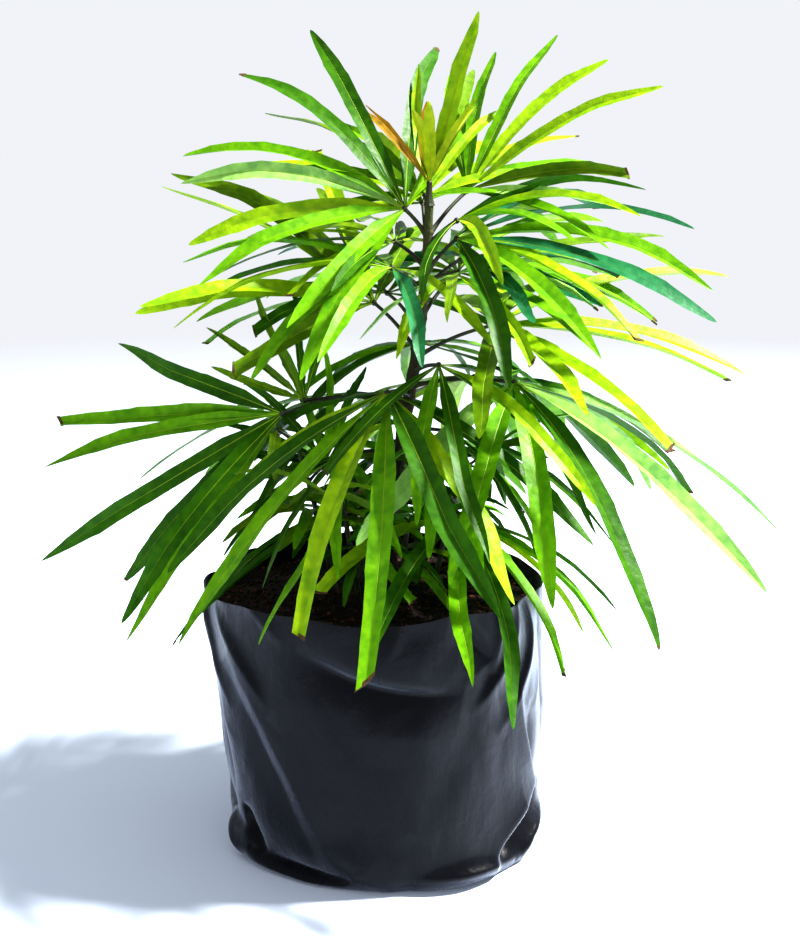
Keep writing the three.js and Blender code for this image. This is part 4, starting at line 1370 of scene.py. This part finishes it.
class StageSettings(bpy.types.PropertyGroup):
    """The floor, the lights and the camera."""

    floor: colour_setting("Floor", "Colour of the floor", (0.76, 0.85, 1.0))
    sky: colour_setting("Sky", "Colour of the even light", (0.925, 0.94, 0.985))
    sky_strength: bpy.props.FloatProperty(
        name="Sky strength", description="Strength of the even light", default=0.8, min=0
    )
    overhead: bpy.props.FloatProperty(
        name="Overhead", description="Share of the even light that is left overhead",
        default=0.75, min=0
    )
    key_power: bpy.props.FloatProperty(
        name="Key light", description="Power of the main light", default=200, min=0, unit="POWER"
    )
    key_size: length_setting("Key size", "Side of the main light", 0.2)
    lens: bpy.props.FloatProperty(
        name="Lens", description="Focal length in millimetres", default=55.4, min=1
    )
    camera_height: length_setting("Camera height", "Height of the camera", 0.393)
    camera_distance: length_setting("Camera distance", "Distance of the camera", 0.8)
    camera_side: length_setting("Camera side", "How far the camera stands to the right", 0.0085)
    camera_pitch: bpy.props.FloatProperty(
        name="Camera pitch", description="How far the camera looks down",
        default=math.radians(12.4), subtype="ANGLE"
    )


# All tints but fresh are painted light: sunlight (lime), highlight (pale), sky reflection (teal)
# and shade (olive, deep).
TINTS = ("lime", "pale", "fresh", "deep", "teal", "olive")

# --- Operators --------------------------------------------------------------------------------


class GrowBag(bpy.types.Operator):
    """Makes the crumpled film bag"""

    bl_idname = "aralia.grow_bag"
    bl_label = "Grow Bag"

    def execute(self, context):
        bag = context.scene.aralia_bag
        finish = film_finish(bag)
        mesh_piece("grow_bag_film", *skin(film_rings(bag)), finish, "film", ["grow_bag"], 50)
        return {"FINISHED"}


class PottingSoil(bpy.types.Operator):
    """Makes the soil's surface with crumbs and bark chips on it"""

    bl_idname = "aralia.potting_soil"
    bl_label = "Potting Soil"

    COLUMNS = 260
    ROWS = 110
    CRUMB = {"size": (0.5, 1.7), "flatness": 0.75, "seed": 71}
    CHIP = {"size": (0.6, 1.9), "flatness": 0.4, "seed": 72}

    def execute(self, context):
        soil, bag = context.scene.aralia_soil, context.scene.aralia_bag
        inset = (bag.film + soil.clearance) / MM
        dark = soil_finish(soil, "damp_soil", soil.colour)
        loose = soil_finish(soil, "loose_soil", scaled(soil.colour, 1.5))
        chip = soil_finish(soil, "bark_chips", soil.chip_colour)
        nodes = ["potting_soil"]
        surface = skin(soil_rings(self.COLUMNS, self.ROWS, inset))
        mesh_piece("soil_surface", *surface, dark, "soil", nodes, 60)
        small = crumbs(soil.crumbs, inset=inset, **self.CRUMB)
        mesh_piece("soil_crumbs", *small, loose, "soil", nodes)
        flakes = crumbs(soil.chips, inset=inset, **self.CHIP)
        mesh_piece("soil_chips", *flakes, chip, "soil", nodes)
        return {"FINISHED"}


class TrunkBark(bpy.types.Operator):
    """Makes the trunk with its bark, leaf scars and root flare"""

    bl_idname = "aralia.trunk_bark"
    bl_label = "Trunk"

    def execute(self, context):
        bark = context.scene.aralia_bark
        rings = trunk_rings(bark.columns, bark.rows)
        mesh_piece("trunk_bark", *skin(rings), bark_finish(bark), "bark", ["trunk"], 60)
        return {"FINISHED"}


class LeafStalks(bpy.types.Operator):
    """Makes the stalks and knobs that carry the fans, the shoots and the young leaves"""

    bl_idname = "aralia.leaf_stalks"
    bl_label = "Stalks"

    SUNK_FOOT = 2

    def execute(self, context):
        bark = context.scene.aralia_bark
        main, low = fans() + inner_fans(), shoots()
        tip = [{"foot": trunk_centre(TRUNK_TOP - self.SUNK_FOOT), "hub": tip_hub()}]
        parts = [stalks(main, STALK_RADIUS), knobs(main, HUB_RADIUS),
                 stalks(tip, TIP_STEM_RADIUS), knobs(tip, HUB_RADIUS)]
        finish = stalk_finish("leaf_stalk", bark.stalk, bark.stalk_shade)
        nodes = [*dict.fromkeys(fan["node"] for fan in main), "growing_tip"]
        mesh_piece("leaf_stalks", *joined(map(skin, parts)), finish, "bark", nodes)
        small = [fan for shoot in low for fan in shoot["fans"]]
        stems = [{"foot": s["foot"] - UP * self.SUNK_FOOT, "hub": s["top"]} for s in low]
        parts = [stalks(stems, SHOOT_RADIUS), stalks(small, SHOOT_STALK_RADIUS),
                 knobs(small, SHOOT_HUB_RADIUS)]
        finish = stalk_finish("shoot_stem", bark.shoot, bark.stalk_shade)
        nodes = [shoot["name"] for shoot in low]
        mesh_piece("shoot_stems", *joined(map(skin, parts)), finish, "bark", nodes)
        return {"FINISHED"}


class Foliage(bpy.types.Operator):
    """Makes the leaflets of all fans and shoots, one piece for each tint, with midribs"""

    bl_idname = "aralia.foliage"
    bl_label = "Leaves"

    BLADE_SEED = 80
    SCORCH_SEED = 91
    SCORCHED_SHARE = 0.14

    def execute(self, context):
        leaf = context.scene.aralia_leaf
        main = [one for fan in fans() for one in matched_spray(fan)]
        main += [one for fan in inner_fans() for one in free_spray(fan)]
        low = [one for shoot in shoots() for fan in shoot["fans"] for one in matched_spray(fan)]
        ribs = []
        # One piece for each tint: fresh is the leaf's own green, and the others are copies of it
        # with painted sunlight, highlight, sky reflection and shade.
        for number, tint in enumerate(TINTS):
            parts, nodes = [], set()
            for group, teeth in ((main, MAIN_TEETH), (low, LOW_TEETH)):
                picked = [one for one in group if one["tint"] == tint]
                if picked:
                    blade, rib = blades(picked, leaf, teeth, self.BLADE_SEED + number)
                    parts.append(skin(blade))
                    ribs.append(skin(rib))
                    nodes.update(one["node"] for one in picked)
            finish = leaf_finish(f"leaf_{tint}", getattr(leaf, tint), leaf)
            mesh_piece(f"leaves_{tint}", *joined(parts), finish, "leaf", sorted(nodes),
                       BLADE_SHARP_FROM)
        nodes = sorted({one["node"] for one in main + low})
        finish = plain_finish("leaf_midrib", leaf.midrib, 0.45, 0.8)
        mesh_piece("leaf_midribs", *joined(ribs), finish, "leaf", nodes)
        sleeves = end_scorch(main, leaf, self.SCORCHED_SHARE, self.SCORCH_SEED)
        nodes = sorted({one["node"] for one in main})
        finish = plain_finish("dry_leaf_end", leaf.dry, 0.8, 0.4)
        mesh_piece("dry_leaf_ends", *skin(sleeves), finish, "leaf", nodes)
        return {"FINISHED"}


class GrowingTip(bpy.types.Operator):
    """Makes the young upright leaves at the top of the leader"""

    bl_idname = "aralia.growing_tip"
    bl_label = "Growing Tip"

    BLADE_SEED = 100

    def execute(self, context):
        leaf, nodes = context.scene.aralia_leaf, ["growing_tip"]
        kept = dressed(kept_leaflets(*nodes, TIP_LEAVES, tip_leaflet), TIP_TINTS, SEEDS["tip"])
        ribs = []
        # The lime piece here is painted sunlight; young and bronze are the young leaves' own
        # colours.
        for number, tint in enumerate(dict.fromkeys(TIP_TINTS)):
            picked = [one for one in kept if TIP_TINTS[one["index"]] == tint]
            if picked:
                blade, rib = blades(picked, leaf, TIP_TEETH, self.BLADE_SEED + number)
                ribs.append(skin(rib))
                finish = leaf_finish(f"tip_{tint}", getattr(leaf, tint), leaf)
                mesh_piece(f"tip_leaves_{tint}", *skin(blade), finish, "young_leaf", nodes,
                           BLADE_SHARP_FROM)
        finish = plain_finish("tip_midrib", scaled(leaf.midrib, 1.2, 0.9, 0.8), 0.45, 0.8)
        mesh_piece("tip_midribs", *joined(ribs), finish, "young_leaf", nodes)
        return {"FINISHED"}


class Stage(bpy.types.Operator):
    """Makes the pale floor, the even light, the main light and the camera"""

    bl_idname = "aralia.stage"
    bl_label = "Stage"

    FLOOR_SIZE = 5.0
    FLOOR_FADE = (0.6, 2.4)
    SKY_FADE = (0.15, 0.85)
    CONTRAST = "Medium High Contrast"
    SENSOR_WIDTH = 36
    KEY_AIM = np.array((0.0, 0.0, 0.2))
    KEY_AZIMUTH = 1
    KEY_RISE = 50
    KEY_DISTANCE = 2.4
    KEY_COLOUR = (1.0, 0.985, 0.95)

    def even_light(self, stage):
        """Light from all round that is dimmer overhead."""
        world = bpy.data.worlds.new("even_light")
        m = Shading(world)
        way = m.node("ShaderNodeTexCoord", output="Generated")
        height = m.node("ShaderNodeSeparateXYZ", inputs={"Vector": way}, output="Z")
        above = scaled(stage.sky, stage.overhead)
        background = m.tree.nodes["Background"].inputs
        m.put(background["Color"], m.mix(height.between(*self.SKY_FADE), stage.sky, above))
        m.put(background["Strength"], stage.sky_strength)
        bpy.context.scene.world = world

    def key_light(self, stage):
        """A small bright lamp that throws a clear shadow."""
        lamp = bpy.data.lights.new("key", "AREA")
        lamp.energy, lamp.size, lamp.color = stage.key_power, stage.key_size, self.KEY_COLOUR
        light = bpy.data.objects.new("key", lamp)
        light.location = self.KEY_AIM + vector(self.KEY_AZIMUTH, self.KEY_RISE) * self.KEY_DISTANCE
        tilt = math.radians(90 - self.KEY_RISE)
        light.rotation_euler = (tilt, 0, math.radians(90 + self.KEY_AZIMUTH))
        bpy.context.scene.collection.objects.link(light)

    def floor(self, stage):
        """A pale floor that fades out towards its edge."""
        half = self.FLOOR_SIZE / 2
        corners = [(-half, -half, 0), (half, -half, 0), (half, half, 0), (-half, half, 0)]
        mesh = bpy.data.meshes.new("floor")
        mesh.from_pydata(corners, [], [(0, 1, 2, 3)])
        m = Finish("pale_floor", Specular_IOR_Level=0.2)
        grain = m.noise(14, 2)
        m.colour(m.mix(grain, stage.floor, scaled(stage.floor, 0.985)))
        m.roughness(0.75 + 0.1 * grain)
        reach = m.node("ShaderNodeVectorMath", {"operation": "LENGTH"}, {0: m.place}, "Value")
        m.put(m.surface.inputs["Alpha"], 1 - reach.between(*self.FLOOR_FADE))
        mesh.materials.append(m.material)
        floor = bpy.data.objects.new("floor", mesh)
        bpy.context.scene.collection.objects.link(floor)

    def camera(self, stage):
        """A camera in front that looks down a little."""
        lens = bpy.data.cameras.new("camera")
        lens.lens, lens.sensor_fit, lens.sensor_width = stage.lens, "AUTO", self.SENSOR_WIDTH
        camera = bpy.data.objects.new("camera", lens)
        camera.location = (stage.camera_side, -stage.camera_distance, stage.camera_height)
        camera.rotation_euler = (math.pi / 2 - stage.camera_pitch, 0, 0)
        bpy.context.scene.collection.objects.link(camera)
        bpy.context.scene.camera = camera

    def execute(self, context):
        stage = context.scene.aralia_stage
        self.floor(stage)
        self.even_light(stage)
        self.key_light(stage)
        self.camera(stage)
        context.scene.view_settings.view_transform = "Standard"
        context.scene.view_settings.look = self.CONTRAST
        return {"FINISHED"}


# --- Panel and registration -----------------------------------------------------------------

OPERATORS = (GrowBag, PottingSoil, TrunkBark, LeafStalks, Foliage, GrowingTip, Stage)
SETTINGS = {
    "aralia_bag": BagSettings,
    "aralia_soil": SoilSettings,
    "aralia_bark": BarkSettings,
    "aralia_leaf": LeafSettings,
    "aralia_stage": StageSettings,
}


class PlantPanel(bpy.types.Panel):
    """Lists the plant's settings and the operators that make its pieces"""

    bl_idname = "VIEW3D_PT_aralia"
    bl_label = "Potted False Aralia"
    bl_space_type = "VIEW_3D"
    bl_region_type = "UI"
    bl_category = "Plant"

    def draw(self, context):
        for name, group in SETTINGS.items():
            box = self.layout.box()
            for setting in group.__annotations__:
                box.prop(getattr(context.scene, name), setting)
        for operator in OPERATORS:
            self.layout.operator(operator.bl_idname)


def register():
    for group in SETTINGS.values():
        bpy.utils.register_class(group)
    for name, group in SETTINGS.items():
        setattr(bpy.types.Scene, name, bpy.props.PointerProperty(type=group))
    for operator in OPERATORS:
        bpy.utils.register_class(operator)
    bpy.utils.register_class(PlantPanel)


def unregister():
    bpy.utils.unregister_class(PlantPanel)
    for operator in reversed(OPERATORS):
        bpy.utils.unregister_class(operator)
    for name in SETTINGS:
        delattr(bpy.types.Scene, name)
    for group in SETTINGS.values():
        bpy.utils.unregister_class(group)


def main():
    register()
    bpy.ops.aralia.grow_bag()
    bpy.ops.aralia.potting_soil()
    bpy.ops.aralia.trunk_bark()
    bpy.ops.aralia.leaf_stalks()
    bpy.ops.aralia.foliage()
    bpy.ops.aralia.growing_tip()
    bpy.ops.aralia.stage()
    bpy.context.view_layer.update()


if __name__ == "__main__":
    main()
